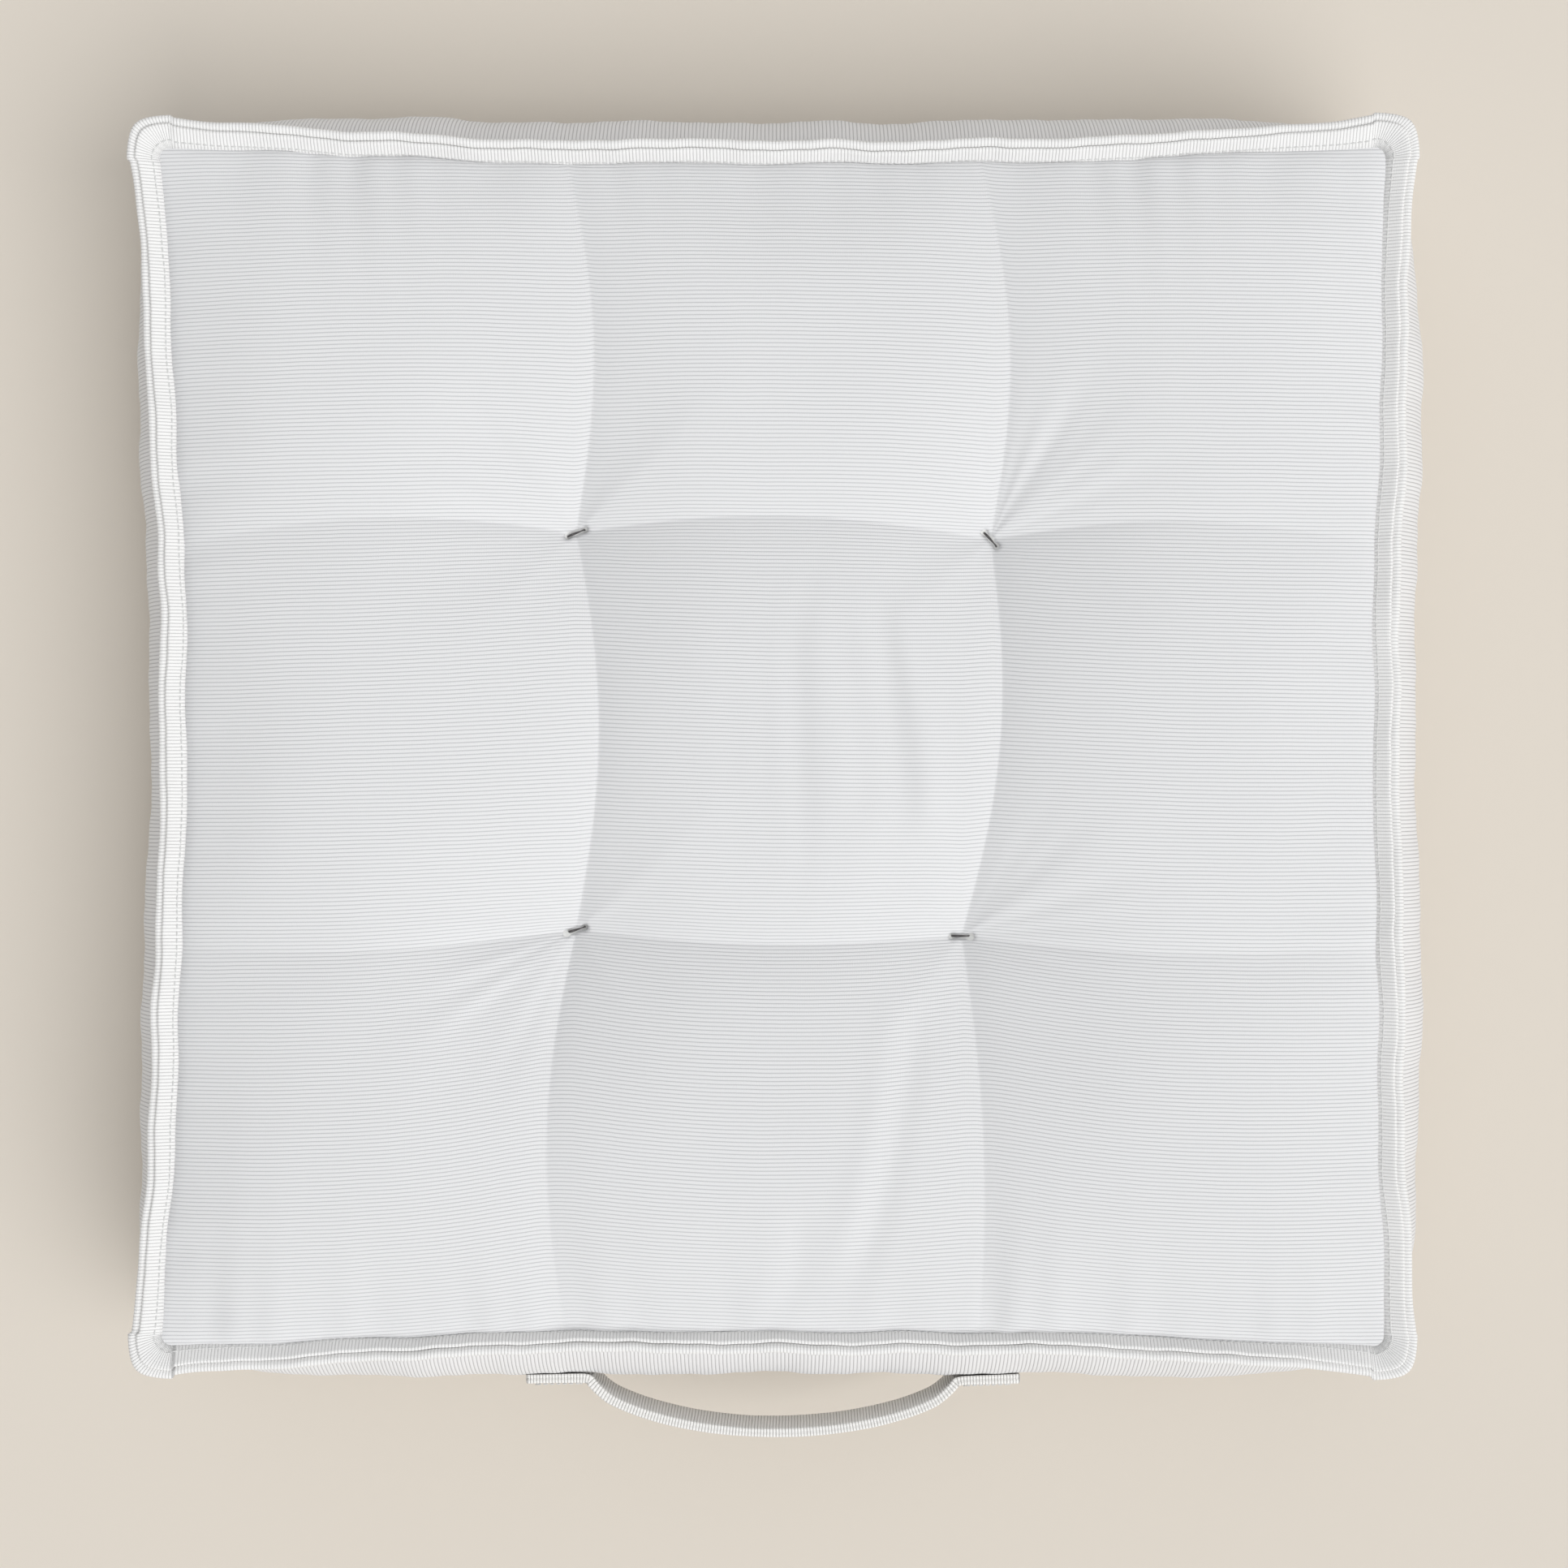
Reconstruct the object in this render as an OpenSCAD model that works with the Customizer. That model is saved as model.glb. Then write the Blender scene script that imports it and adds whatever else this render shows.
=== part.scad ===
// Tufted box cushion for the floor, with a mattress edge and a carrying handle.
// Origin on the floor under the middle of the cushion. +Z is up, the handle is on the -Y side.

/* [Cover] */
// Width of the top and bottom panels, from corner seam to corner seam
panel_w = 590; // [420:5:720]
// Depth of the top and bottom panels, from corner seam to corner seam
panel_d = 576; // [420:5:720]
// Height of the side band from its bottom seam to its top seam
band_h = 90; // [70:1:120]
// Thickness of one ply of the ribbed cotton
fabric_t = 1.2; // [0.8:0.1:1.6]
// How far the side band swells past its seams
band_bulge = 27; // [15:1:32]

/* [Top and bottom] */
// How far a stuffed panel swells past its seam
crown = 22; // [19:1:30]
// Height of the bottom seam above the floor
floor_rise = 17; // [14:1:18]
// How far each tuft is drawn in below the crown
tuft_depth = 22; // [15:1:24]
// Depth of the soft valleys between the tufts
valley_depth = 3; // [0:0.5:4]

/* [Tufts] */
// Diameter of the waxed tufting thread
thread_d = 1.2; // [0.8:0.1:2]
// Length of the stitch that each tuft leaves on the panels
stitch_l = 10; // [6:1:14]

/* [Mattress edge] */
// Width of the sewn edge, from its stitching to its fold
flange_w = 11; // [7:1:14]
// Thickness of one turned-in layer of the sewn edge
fold_t = 2.3; // [1.8:0.1:3]

/* [Handle] */
// Width of the handle strap
strap_w = 32; // [22:1:38]
// Thickness of the folded strap
strap_t = 4.6; // [3:0.2:6]
// Distance between the two sewn ends of the strap
handle_span = 179; // [140:1:240]
// Length of each sewn end
end_l = 30; // [22:1:40]
// How far the loop stands off the band
handle_arch = 24; // [20:1:34]
// Straight share of the loop that the hand holds
grip_share = 0.6; // [0.5:0.05:0.65]

/* [Filling] */
// Thickness of the batting wrapped round the foam core
wrap_t = 40; // [25:1:60]

/* [Hidden] */

// Sides of the cushion, in the order front, right, back, left
FRONT = 0;
RIGHT = 1;
BACK = 2;
LEFT = 3;
// How far the middle of each side is drawn in from the line between its corners
side_pull = [8, 7, 9, 14];
// How steeply the top edge stands up in the middle of each side, and at the corners
side_tilt = [68, 33, 60, 22];
corner_tilt = 22;
bottom_tilt = 12;

// Gaps that keep soft pieces clear of each other
ply_gap = 0.5;
fill_gap = 0.5;
thread_gap = 0.3;
// Slopes at which the band and the panel leave the sewn edge
wall_dip = 25;
panel_slope = 30;
// The ball at a turn of a thread is this much wider than the thread
turn_share = 1.2;

// Heights of the two seams and of the middle of the band
top_seam_z = floor_rise + band_h;
middle_z = floor_rise + band_h / 2;
half_h = band_h / 2;

// Tufts lie on the lines that divide the panel in three. Each was tied by hand,
// so it has its own slip off the crossing and its own stitch angle: [x, y, angle].
third = 1 / 3;
tuft_at = [[-third, third], [third, third], [-third, -third], [third, -third]];
tuft_slip = [[0, 9, 22], [8, 6, -48], [0, 6, 18], [-6, 3, 0]];
tuft_pad = 7.5;
tuft_reach = 40;
valley_reach = 26;

// Lines of the panel grid, from the middle to the seam, as shares of the half width
pad_step = 2 * tuft_pad / min(panel_w, panel_d);
half_lines = [
    0.11, 0.21, third - pad_step, third, third + pad_step,
    0.45, 0.57, 0.69, 0.80, 0.89, 0.95, 1
];
lines = concat([for (i = [len(half_lines) - 1 : -1 : 0]) -half_lines[i]], [0], half_lines);
inner_lines = [for (t = lines) if (abs(t) < 1) t];
// Rows of the band, from the bottom seam to the top seam
band_rows = [-1, -0.9, -0.75, -0.5, -0.25, 0, 0.25, 0.5, 0.75, 0.9, 1];
// The filling between the two battings stops at this share of the half height
core_share = 0.75;
// How squarely the band rounds over towards its two seams
bulge_power = 0.75;
// Distance of the seam stitches from the foot of the sewn edge
stitch_rise = 2;
core_top = middle_z + core_share * (half_h - fold_t);
core_bottom = middle_z - core_share * (half_h - fold_t);
// It also stops short of the corners, where the upright seams are
wrap_lines = [for (t = lines) if (abs(t) < 0.95) t];

// ---- Shape of the cushion ----

// Fullness across a stuffed panel: steep at the seam, level in the middle
function swell(t) = sqrt(max(0, 1 - pow(abs(t), 4)));

// Weight of one tuft's slip: 1 on its own line, 0 on the next one and at the seam
function share(t) = max(0, 1 - abs(t) / (2 * third));

function slip(a, b, axis) = let (weights = [
    for (i = [0 : 3]) tuft_slip[i][axis] * share(a - tuft_at[i][0]) * share(b - tuft_at[i][1])
]) weights * [1, 1, 1, 1];

// Place on the floor plan of the panel point (a, b), where both run from -1 to 1
function plan(a, b) = [
    a * (panel_w / 2 - side_pull[a < 0 ? LEFT : RIGHT] * (1 - b * b)) + slip(a, b, 0),
    b * (panel_d / 2 - side_pull[b < 0 ? FRONT : BACK] * (1 - a * a)) + slip(a, b, 1)
];

tufts = [for (t = tuft_at) plan(t[0], t[1])];

function dimple(p) = let (dips = [
    for (t = tufts) exp(-max(0, norm(p - t) - tuft_pad) / tuft_reach)
]) min(1, dips * [1, 1, 1, 1]);

function valley(t, half) = exp(-pow((abs(t) - third) * half / valley_reach, 2));

// Height of the stuffed panel over its seam
function rise(a, b) = crown * swell(a) * swell(b)
    - tuft_depth * dimple(plan(a, b)) * min(1, 2 * swell(a) * swell(b))
    - valley_depth * swell(a) * swell(b) * (valley(a, panel_w / 2) + valley(b, panel_d / 2)) / 2;

// Height of a panel's outer face: the bottom one is pressed flat on the floor
function top_z(a, b) = top_seam_z + rise(a, b);
function bottom_z(a, b) = floor_rise - min(floor_rise, rise(a, b));
function face_z(a, b, up) = up > 0 ? top_z(a, b) : bottom_z(a, b);

// Angle of the sewn edge over the horizontal, at share s of a side
function tilt(side, s, up) = up < 0 ? bottom_tilt
    : corner_tilt + (side_tilt[side] - corner_tilt) * (1 - pow(s, 4));

// A point of the sewn edge: [outwards, upwards] from the seam, at the distance "along"
// from its stitching and "off" from its middle plane
function edge_point(angle, along, off, up) = [
    along * cos(angle) - off * sin(angle), up * (along * sin(angle) + off * cos(angle))
];

// Place of a point at share s of a side and "out" beyond its seam. At the corners it
// moves out both ways, so that pieces which meet there share a mitre.
function side_point(side, s, out, z) = let (
    even = side % 2 == 0,
    u = s * (even ? panel_w : panel_d) / 2 + (abs(s) == 1 ? sign(s) * out : 0),
    v = (even ? panel_d : panel_w) / 2 - side_pull[side] * (1 - s * s) + out
) side == FRONT ? [u, -v, z] : side == RIGHT ? [v, u, z] : side == BACK ? [-u, v, z] : [-v, -u, z];

// How far behind the stitching the hidden face of a ply turns, where the ply folds at
// the given angle from the sewn edge into a panel or the band
function turn_in(angle) = max(0, (fabric_t + fold_t * cos(angle)) / sin(angle));

// How far the band's outer face stands beyond the seam, at share s of a side and
// share h of its half height
function band_out(side, s, h) = let (
    off = ply_gap / 2 + fold_t,
    low = edge_point(tilt(side, s, -1), 0, -off, -1),
    high = edge_point(tilt(side, s, 1), 0, -off, 1)
) low[0] + (high[0] - low[0]) * (h + 1) / 2 + band_bulge * swell(s) * pow(max(0, 1 - h * h), bulge_power);

function band_point(side, s, h, off) = side_point(
    side, s, band_out(side, s, h) + off, middle_z + h * (half_h - fold_t)
);

// ---- Solids built from rows of points ----

function flat_list(rows) = [for (row = rows) for (p = row) p];

// Triangles of a grid. The cells of row "crossed" are cut along their other diagonal, and
// with "corners" so are the first row's last cell and the last row's first cell.
function grid_faces(rows, cols, first, turned, crossed = -1, corners = false) = [
    for (i = [0 : rows - 2]) for (j = [0 : cols - 2]) let (
        a = first + i * cols + j, b = a + 1, c = a + cols + 1, d = a + cols,
        corner = corners && (i == 0 && j == cols - 2 || i == rows - 2 && j == 0),
        cell = i == crossed || corner ? [b, c, d, a] : [a, b, c, d]
    ) each turned ? [[cell[0], cell[1], cell[2]], [cell[0], cell[2], cell[3]]]
        : [[cell[0], cell[2], cell[1]], [cell[0], cell[3], cell[2]]]
];

function rim(rows, cols) = concat(
    [for (j = [0 : cols - 2]) j],
    [for (i = [0 : rows - 2]) i * cols + cols - 1],
    [for (j = [cols - 1 : -1 : 1]) (rows - 1) * cols + j],
    [for (i = [rows - 1 : -1 : 1]) i * cols]
);

// Solid between an outer and an inner grid of points. Seen from outside, rows run up
// and columns run to the right.
module sheet(outer, inner, crossed = -1, corners = false) {
    rows = len(outer);
    cols = len(outer[0]);
    count = rows * cols;
    edge = rim(rows, cols);
    polyhedron(
        points = concat(flat_list(outer), flat_list(inner)),
        faces = concat(
            grid_faces(rows, cols, 0, false, crossed, corners),
            grid_faces(rows, cols, count, true, crossed, corners),
            [for (i = [0 : len(edge) - 1]) let (p = edge[i], q = edge[(i + 1) % len(edge)])
                each [[p, q, q + count], [p, q + count, p + count]]]
        )
    );
}

// Solid between a grid of points and the level plane below it
module slab(face, level) {
    rows = len(face);
    cols = len(face[0]);
    count = rows * cols;
    edge = rim(rows, cols);
    n = len(edge);
    points = flat_list(face);
    polyhedron(
        points = concat(points, [for (i = edge) [points[i][0], points[i][1], level]]),
        faces = concat(
            grid_faces(rows, cols, 0, false),
            [[for (i = [0 : n - 1]) count + i]],
            [for (i = [0 : n - 1]) let (j = (i + 1) % n) [edge[i], edge[j], count + j, count + i]]
        )
    );
}

// Solid swept round a closed run of rings. Each ring has the same number of points, and
// turns left-handed about the way the run goes.
module ring_sweep(rings) {
    n = len(rings);
    m = len(rings[0]);
    polyhedron(
        points = flat_list(rings),
        faces = [
            for (i = [0 : n - 1]) for (j = [0 : m - 1])
                let (
                    a = i * m + j, b = i * m + (j + 1) % m,
                    c = ((i + 1) % n) * m + (j + 1) % m, d = ((i + 1) % n) * m + j
                ) each [[a, b, c], [a, c, d]]
        ]
    );
}

// Round rod from point p to point q
module rod(p, q, d) {
    v = q - p;
    translate(p) rotate([0, acos(v[2] / norm(v)), atan2(v[1], v[0])])
        cylinder(h = norm(v), d = d, $fn = 16);
}

// Thread laid from point to point, with a small ball at every turn
module thread_run(points, d) {
    for (i = [1 : len(points) - 1]) rod(points[i - 1], points[i], d);
    for (p = points) translate(p) sphere(d = d * turn_share, $fn = 16);
}

// ---- Cover ----

// Stations of a panel grid: the folds of the sewn edge lie beyond the seam lines
stations = concat([[-1, 1]], [for (t = lines) [t, 0]], [[1, 1]]);

// A node of a panel grid. "off" is the distance of that face from the middle plane of
// the sewn edge, and "sink" how far it lies behind the panel's outer face.
function panel_node(sa, sb, off, sink, up) = let (
    a = sa[0], b = sb[0],
    on_x = abs(a) == 1, on_y = abs(b) == 1,
    side = on_y ? (b < 0 ? FRONT : BACK) : (a < 0 ? LEFT : RIGHT),
    angle = tilt(side, on_x && on_y ? 1 : on_y ? a : b, up),
    crease = edge_point(angle, sink > 0 ? -turn_in(180 - angle - panel_slope) : 0, off, up),
    fold = edge_point(angle, flange_w, off, up),
    p = plan(a, b),
    out_x = !on_x ? 0 : sign(a) * (sa[1] == 1 ? fold[0] : crease[0]),
    out_y = !on_y ? 0 : sign(b) * (sb[1] == 1 ? fold[0] : crease[0]),
    seam = (up > 0 ? top_seam_z : floor_rise) + (sa[1] + sb[1] > 0 ? fold[1] : crease[1])
) [p[0] + out_x, p[1] + out_y, on_x || on_y ? seam : face_z(a, b, up) - up * sink];

function panel_grid(off, sink, up) = [
    for (sb = stations) [for (sa = stations) panel_node(sa, sb, off, sink, up)]
];

// Two holes in every ply and filling for the legs of each tuft's thread
hole_gap = 0.6;

module thread_holes(bottom, top) {
    for (i = [0 : 3]) for (leg = [-1, 1])
        translate([tufts[i][0], tufts[i][1], bottom]) rotate(tuft_slip[i][2])
            translate([leg * stitch_l / 2, 0, 0])
                cylinder(h = top - bottom, d = thread_d + 2 * hole_gap, $fn = 16);
}

module panel(up) {
    outer = panel_grid(ply_gap / 2 + fold_t, 0, up);
    inner = panel_grid(ply_gap / 2, fabric_t, up);
    color("white") difference() {
        if (up > 0) sheet(outer, inner, corners = true);
        else sheet(inner, outer, corners = true);
        thread_holes(up > 0 ? middle_z : -1, up > 0 ? top_seam_z + crown : middle_z);
    }
}

module top_panel() {
    panel(1);
}

module bottom_panel() {
    panel(-1);
}

// One side of the band, with the turned edges that it gives to both seams
module band(side) {
    outer = ply_gap / 2 + fold_t;
    inner = ply_gap / 2;
    heights = [for (i = [1 : len(band_rows) - 2]) band_rows[i]];
    // Run of points at "back" behind the fold of a sewn edge, at depth q under its middle plane
    function edge_row(back, q, up) = [for (s = lines) let (
        angle = tilt(side, s, up),
        p = edge_point(angle, flange_w - back, -q, up)
    ) side_point(side, s, p[0], (up > 0 ? top_seam_z : floor_rise) + p[1])];
    function turn_row(up) = [for (s = lines) let (
        angle = tilt(side, s, up),
        p = edge_point(angle, -turn_in(angle + wall_dip), -inner, up)
    ) side_point(side, s, p[0], (up > 0 ? top_seam_z : floor_rise) + p[1])];
    function wall(depth) = [for (h = heights) [for (s = lines) band_point(side, s, h, -depth)]];
    crossed = side % 2 == 0 ? len(heights) + 2 : -1;
    color("white") sheet(
        concat([edge_row(0, outer, -1), edge_row(flange_w, outer, -1)], wall(0),
            [edge_row(flange_w, outer, 1), edge_row(0, outer, 1)]),
        concat([edge_row(0, inner, -1), turn_row(-1)], wall(fabric_t),
            [turn_row(1), edge_row(0, inner, 1)]),
        crossed
    );
}

// ---- Filling ----

// Batting under a panel, pressed thin where a tuft draws it in. The lower one is built
// upside down and turned over.
module batting(up) {
    face = [for (b = inner_lines) [for (a = inner_lines) let (p = plan(a, b))
        [p[0], p[1], up * face_z(a, b, up) - fabric_t - fill_gap]]];
    level = (up > 0 ? core_top : -core_bottom) + fill_gap;
    color("ivory") difference() {
        mirror([0, 0, up > 0 ? 0 : 1]) slab(face, level);
        thread_holes(up > 0 ? middle_z : -1, up > 0 ? top_seam_z + crown : middle_z);
    }
}

module top_batting() {
    batting(1);
}

module bottom_batting() {
    batting(-1);
}

// Share that draws the wrap's inner wall in, so that it follows the foam round a corner
function core_along(side) = 1 - wrap_t / ((side % 2 == 0 ? panel_w : panel_d) / 2);

// Batting wrapped round the foam
module edge_batting() {
    rows = [for (h = band_rows) if (abs(h) <= core_share) h];
    rings = [for (side = [FRONT : LEFT]) for (s = wrap_lines) concat(
        [for (h = rows) band_point(side, s, h, -fabric_t - fill_gap)],
        [side_point(side, s * core_along(side), -wrap_t, core_top),
            side_point(side, s * core_along(side), -wrap_t, core_bottom)]
    )];
    color("ivory") ring_sweep(rings);
}

module foam_core() {
    outline = [for (side = [FRONT : LEFT]) for (s = wrap_lines) let (
        p = side_point(side, s * core_along(side), -wrap_t - fill_gap, 0)
    ) [p[0], p[1]]];
    color("lightyellow") difference() {
        translate([0, 0, core_bottom]) linear_extrude(height = core_top - core_bottom) polygon(outline);
        thread_holes(core_bottom - 1, core_top + 1);
    }
}

// ---- Threads ----

// Height of the stitch on a panel: it lies on the flat pad that the tuft makes
function stitch_z(i, up) = face_z(tuft_at[i][0], tuft_at[i][1], up) + up * (thread_d / 2 + thread_gap);

knot_d = 4;
tail_l = 12;
bend_r = 1.5;

// One loop of waxed thread right through the cushion, knotted underneath
module tuft_thread(i) {
    high = stitch_z(i, 1);
    low = stitch_z(i, -1);
    knot_z = low + thread_d / 2 - knot_d / 2;
    corners = [
        [stitch_l / 2 - bend_r, high - bend_r, 0], [bend_r - stitch_l / 2, high - bend_r, 90],
        [bend_r - stitch_l / 2, low + bend_r, 180], [stitch_l / 2 - bend_r, low + bend_r, 270]
    ];
    rings = [for (c = corners) for (turn = [c[2] : 30 : c[2] + 90]) [
        for (t = [0 : 45 : 315]) let (out = bend_r + thread_d / 2 * cos(t))
            [c[0] + out * cos(turn), -thread_d / 2 * sin(t), c[1] + out * sin(turn)]
    ]];
    color("gainsboro") translate([tufts[i][0], tufts[i][1], 0]) rotate(tuft_slip[i][2]) {
        ring_sweep(rings);
        translate([0, 0, knot_z]) rotate([90, 0, 0])
            cylinder(h = 2 * thread_d, d = knot_d, center = true, $fn = 24);
        for (way = [-1, 1])
            rod([0, 0, knot_z], [way * tail_l / 3, way * tail_l / 2, knot_z - knot_d / 4], thread_d);
    }
}

// Thread of a mattress-edge seam, on the panel's side of the sewn edge
seam_thread_d = 0.8;

module seam_thread(up) {
    r = seam_thread_d / 2;
    off = ply_gap / 2 + fold_t + r + 1.5 * thread_gap;
    rings = [for (side = [FRONT : LEFT]) for (i = [0 : len(lines) - 2]) let (
        s = lines[i],
        p = edge_point(tilt(side, s, up), stitch_rise, off, up),
        z = up > 0 ? top_seam_z : floor_rise
    ) [for (q = [[r, 0], [0, r], [-r, 0], [0, -r]]) side_point(side, s, p[0] + q[0], z + p[1] + q[1])]];
    color("white") ring_sweep(rings);
}

module top_seam_thread() {
    seam_thread(1);
}

module bottom_seam_thread() {
    seam_thread(-1);
}

// Threads of the four upright seams that join the sides of the band
module corner_seam_thread() {
    inset = fabric_t + fold_t;
    color("white") for (x = [-1, 1]) for (y = [-1, 1])
        translate([x * (panel_w / 2 - inset), y * (panel_d / 2 - inset), floor_rise + flange_w])
            cylinder(h = band_h - 2 * flange_w, d = seam_thread_d, $fn = 16);
}

// ---- Handle ----

half_span = handle_span / 2;
grip_half = half_span * grip_share;
leg_gap = 0.5;
// Shares of the front side where the sewn ends begin and stop
end_from = half_span / (panel_w / 2);
end_to = (half_span + end_l) / (panel_w / 2);
end_cols = [0, 1 / 3, 2 / 3, 1];
// Share of a tab's length at which its stitched box starts
box_share = 0.9;
strap_rows = [-1, -2 / 3, -1 / 3, 0, 1 / 3, 2 / 3, 1];
strap_share = strap_w / 2 / (half_h - fold_t);

// Middle plane of the strap where it leaves the band: the handle swings about this line
hinge_y = band_point(FRONT, end_from, 0, ply_gap + strap_t / 2)[1];

function strap_out(x) = handle_arch * (1 - pow(x / half_span, 2));

// A stretch of the standing loop from x0 to x1
module strap(x0, x1) {
    steps = 12;
    xs = [for (i = [0 : steps]) x0 + (x1 - x0) * i / steps];
    function face(shift) = [for (x = xs) [x, hinge_y - strap_out(x) + shift]];
    near = face(strap_t / 2);
    far = face(-strap_t / 2);
    color("white") translate([0, 0, middle_z - strap_w / 2]) linear_extrude(height = strap_w)
        polygon(concat(near, [for (i = [steps : -1 : 0]) far[i]]));
}

module handle_grip() {
    strap(-grip_half, grip_half);
}

module handle_leg(way) {
    strap(min(way * (grip_half + leg_gap), way * (half_span - leg_gap)),
        max(way * (grip_half + leg_gap), way * (half_span - leg_gap)));
}

function end_share(way, c) = way * (end_from + (end_to - end_from) * (way > 0 ? c : 1 - c));

// A sewn end of the strap, lying on the front band
module handle_end(way) {
    function face(off) = [for (r = strap_rows) [for (c = end_cols)
        band_point(FRONT, end_share(way, c), r * strap_share, off)]];
    color("white") sheet(face(ply_gap + strap_t), face(ply_gap));
}

// Box of stitches that holds a sewn end down
module handle_thread(way) {
    off = ply_gap + strap_t + thread_gap + seam_thread_d;
    rows = [for (i = [1 : len(strap_rows) - 2]) strap_rows[i]];
    n = len(rows) - 1;
    function at(c, r) = band_point(FRONT, end_share(way, c), r * strap_share, off);
    color("white") {
        thread_run(concat(
            [for (r = rows) at(end_cols[1], r)],
            [for (i = [n : -1 : 0]) at(box_share, rows[i])]
        ), seam_thread_d);
        rod(at(box_share, rows[0]), at(end_cols[1], rows[0]), seam_thread_d);
    }
}

top_panel();
bottom_panel();
band(FRONT);  // band_front
band(RIGHT);  // band_right
band(BACK);  // band_back
band(LEFT);  // band_left
top_batting();
bottom_batting();
edge_batting();
foam_core();
tuft_thread(0);  // tuft_thread_back_left
tuft_thread(1);  // tuft_thread_back_right
tuft_thread(2);  // tuft_thread_front_left
tuft_thread(3);  // tuft_thread_front_right
top_seam_thread();
bottom_seam_thread();
corner_seam_thread();
handle_grip();
handle_leg(-1);  // handle_leg_left
handle_leg(1);  // handle_leg_right
handle_end(-1);  // handle_end_left
handle_end(1);  // handle_end_right
handle_thread(-1);  // handle_thread_left
handle_thread(1);  // handle_thread_right
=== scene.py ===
import math
import bpy
import numpy as np
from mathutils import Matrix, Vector


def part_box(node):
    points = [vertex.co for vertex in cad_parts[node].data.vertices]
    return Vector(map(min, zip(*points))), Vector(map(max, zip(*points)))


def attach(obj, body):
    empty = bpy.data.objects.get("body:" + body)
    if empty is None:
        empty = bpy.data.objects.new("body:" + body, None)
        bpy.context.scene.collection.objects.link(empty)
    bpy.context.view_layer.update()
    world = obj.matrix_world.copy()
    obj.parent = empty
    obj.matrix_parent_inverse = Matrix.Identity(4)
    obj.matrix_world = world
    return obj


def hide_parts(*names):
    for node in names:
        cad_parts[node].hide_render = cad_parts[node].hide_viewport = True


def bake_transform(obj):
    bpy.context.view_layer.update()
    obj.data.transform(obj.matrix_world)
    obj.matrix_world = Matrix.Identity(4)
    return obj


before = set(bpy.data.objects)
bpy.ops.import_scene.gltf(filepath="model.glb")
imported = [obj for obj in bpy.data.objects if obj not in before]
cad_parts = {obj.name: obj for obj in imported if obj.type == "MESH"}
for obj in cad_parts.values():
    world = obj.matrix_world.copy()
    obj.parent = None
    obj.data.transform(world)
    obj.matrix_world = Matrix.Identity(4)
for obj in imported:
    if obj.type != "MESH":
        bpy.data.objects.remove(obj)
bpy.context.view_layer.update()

scene = bpy.context.scene

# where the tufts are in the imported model
tuftNames = ("back_left", "back_right", "front_left", "front_right")
tuftSpots = {}
for name in tuftNames:
    low, high = (np.array(corner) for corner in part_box("tuft_thread_" + name))
    tuftSpots[name] = (low + high)[:2] / 2

# the cushion, in metres; sides run front, right, back, left
cushion = {
    "width": 0.590, "depth": 0.576,
    "topSeam": 0.107, "bottomSeam": 0.017,
    "cells": 96, "bandCells": 16,
    "crown": 0.0192, "tuftDepth": 0.0145, "tuftPad": 0.002, "tuftReach": 0.034,
    "creaseDepth": 0.0098, "creaseReach": 0.023, "creaseFade": (0.35, 0.55), "dipMost": 1.15,
    "pull": (0.008, 0.007, 0.009, 0.014),
    "bulge": (0.0255, 0.027, 0.0265, 0.024), "bulgePower": 0.75,
    "sway": 0.011, "lift": (-0.005, 0.009),
    "seamWander": 0.0018, "bandWander": 0.05, "bandRipple": 0.0005,
    "ply": 0.0012, "floorClear": 0.0008, "floorEase": 0.0010,
    "fineLines": 215, "fineRows": 33,
}
# one number for each wandering value
seeds = {
    "bandSwell": 3, "bandRipple": 4, "wrinkle": 5, "wrinkleBend": 9, "seamSides": 21, "seamEnds": 22,
    "fan": 31, "pullLine": 41, "pucker": 51, "puckerStrength": 61,
    "edgeTilt": 71, "edgeTiltFine": 72, "edgeLength": 73, "strapHeight": 81, "tabSwell": 82,
}
sides = ("front", "right", "back", "left")
sideNormals = np.array([(0, -1), (1, 0), (0, 1), (-1, 0)], float)
bandHalf = (cushion["topSeam"] - cushion["bottomSeam"]) / 2
third = 1 / 3
tuftShares = {"back_left": (-third, third), "back_right": (third, third),
              "front_left": (-third, -third), "front_right": (third, -third)}
tuftTurn = {"back_left": 22, "back_right": -48, "front_left": 18, "front_right": 0}


def smooth01(t):
    t = np.clip(t, 0, 1)
    return t * t * (3 - 2 * t)


def wave(x, seed, count=4, longest=1.0):
    # smooth wandering value from a few sines, the same on every run
    r = np.random.default_rng(seed)
    total = 0
    for k in range(count):
        strength = r.uniform(0.5, 1) / (k + 1) ** 0.6
        total = total + strength * np.sin(2 * np.pi * (x / longest * (k + 1) + r.uniform()))
    return total / count ** 0.5


print("stage: cover shape")


def seamPull(a, b):
    # a and b run from -1 to 1 across the cushion; the seams are drawn in between the corners
    c = cushion
    front, right, back, left = c["pull"]
    x = a * (c["width"] / 2 - np.where(a < 0, left, right) * (1 - b * b))
    y = b * (c["depth"] / 2 - np.where(b < 0, front, back) * (1 - a * a))
    x = x + c["seamWander"] * wave(b, seeds["seamSides"], 5, 0.9) * a ** 9
    y = y + c["seamWander"] * wave(a, seeds["seamEnds"], 5, 0.9) * b ** 9
    return x, y


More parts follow.
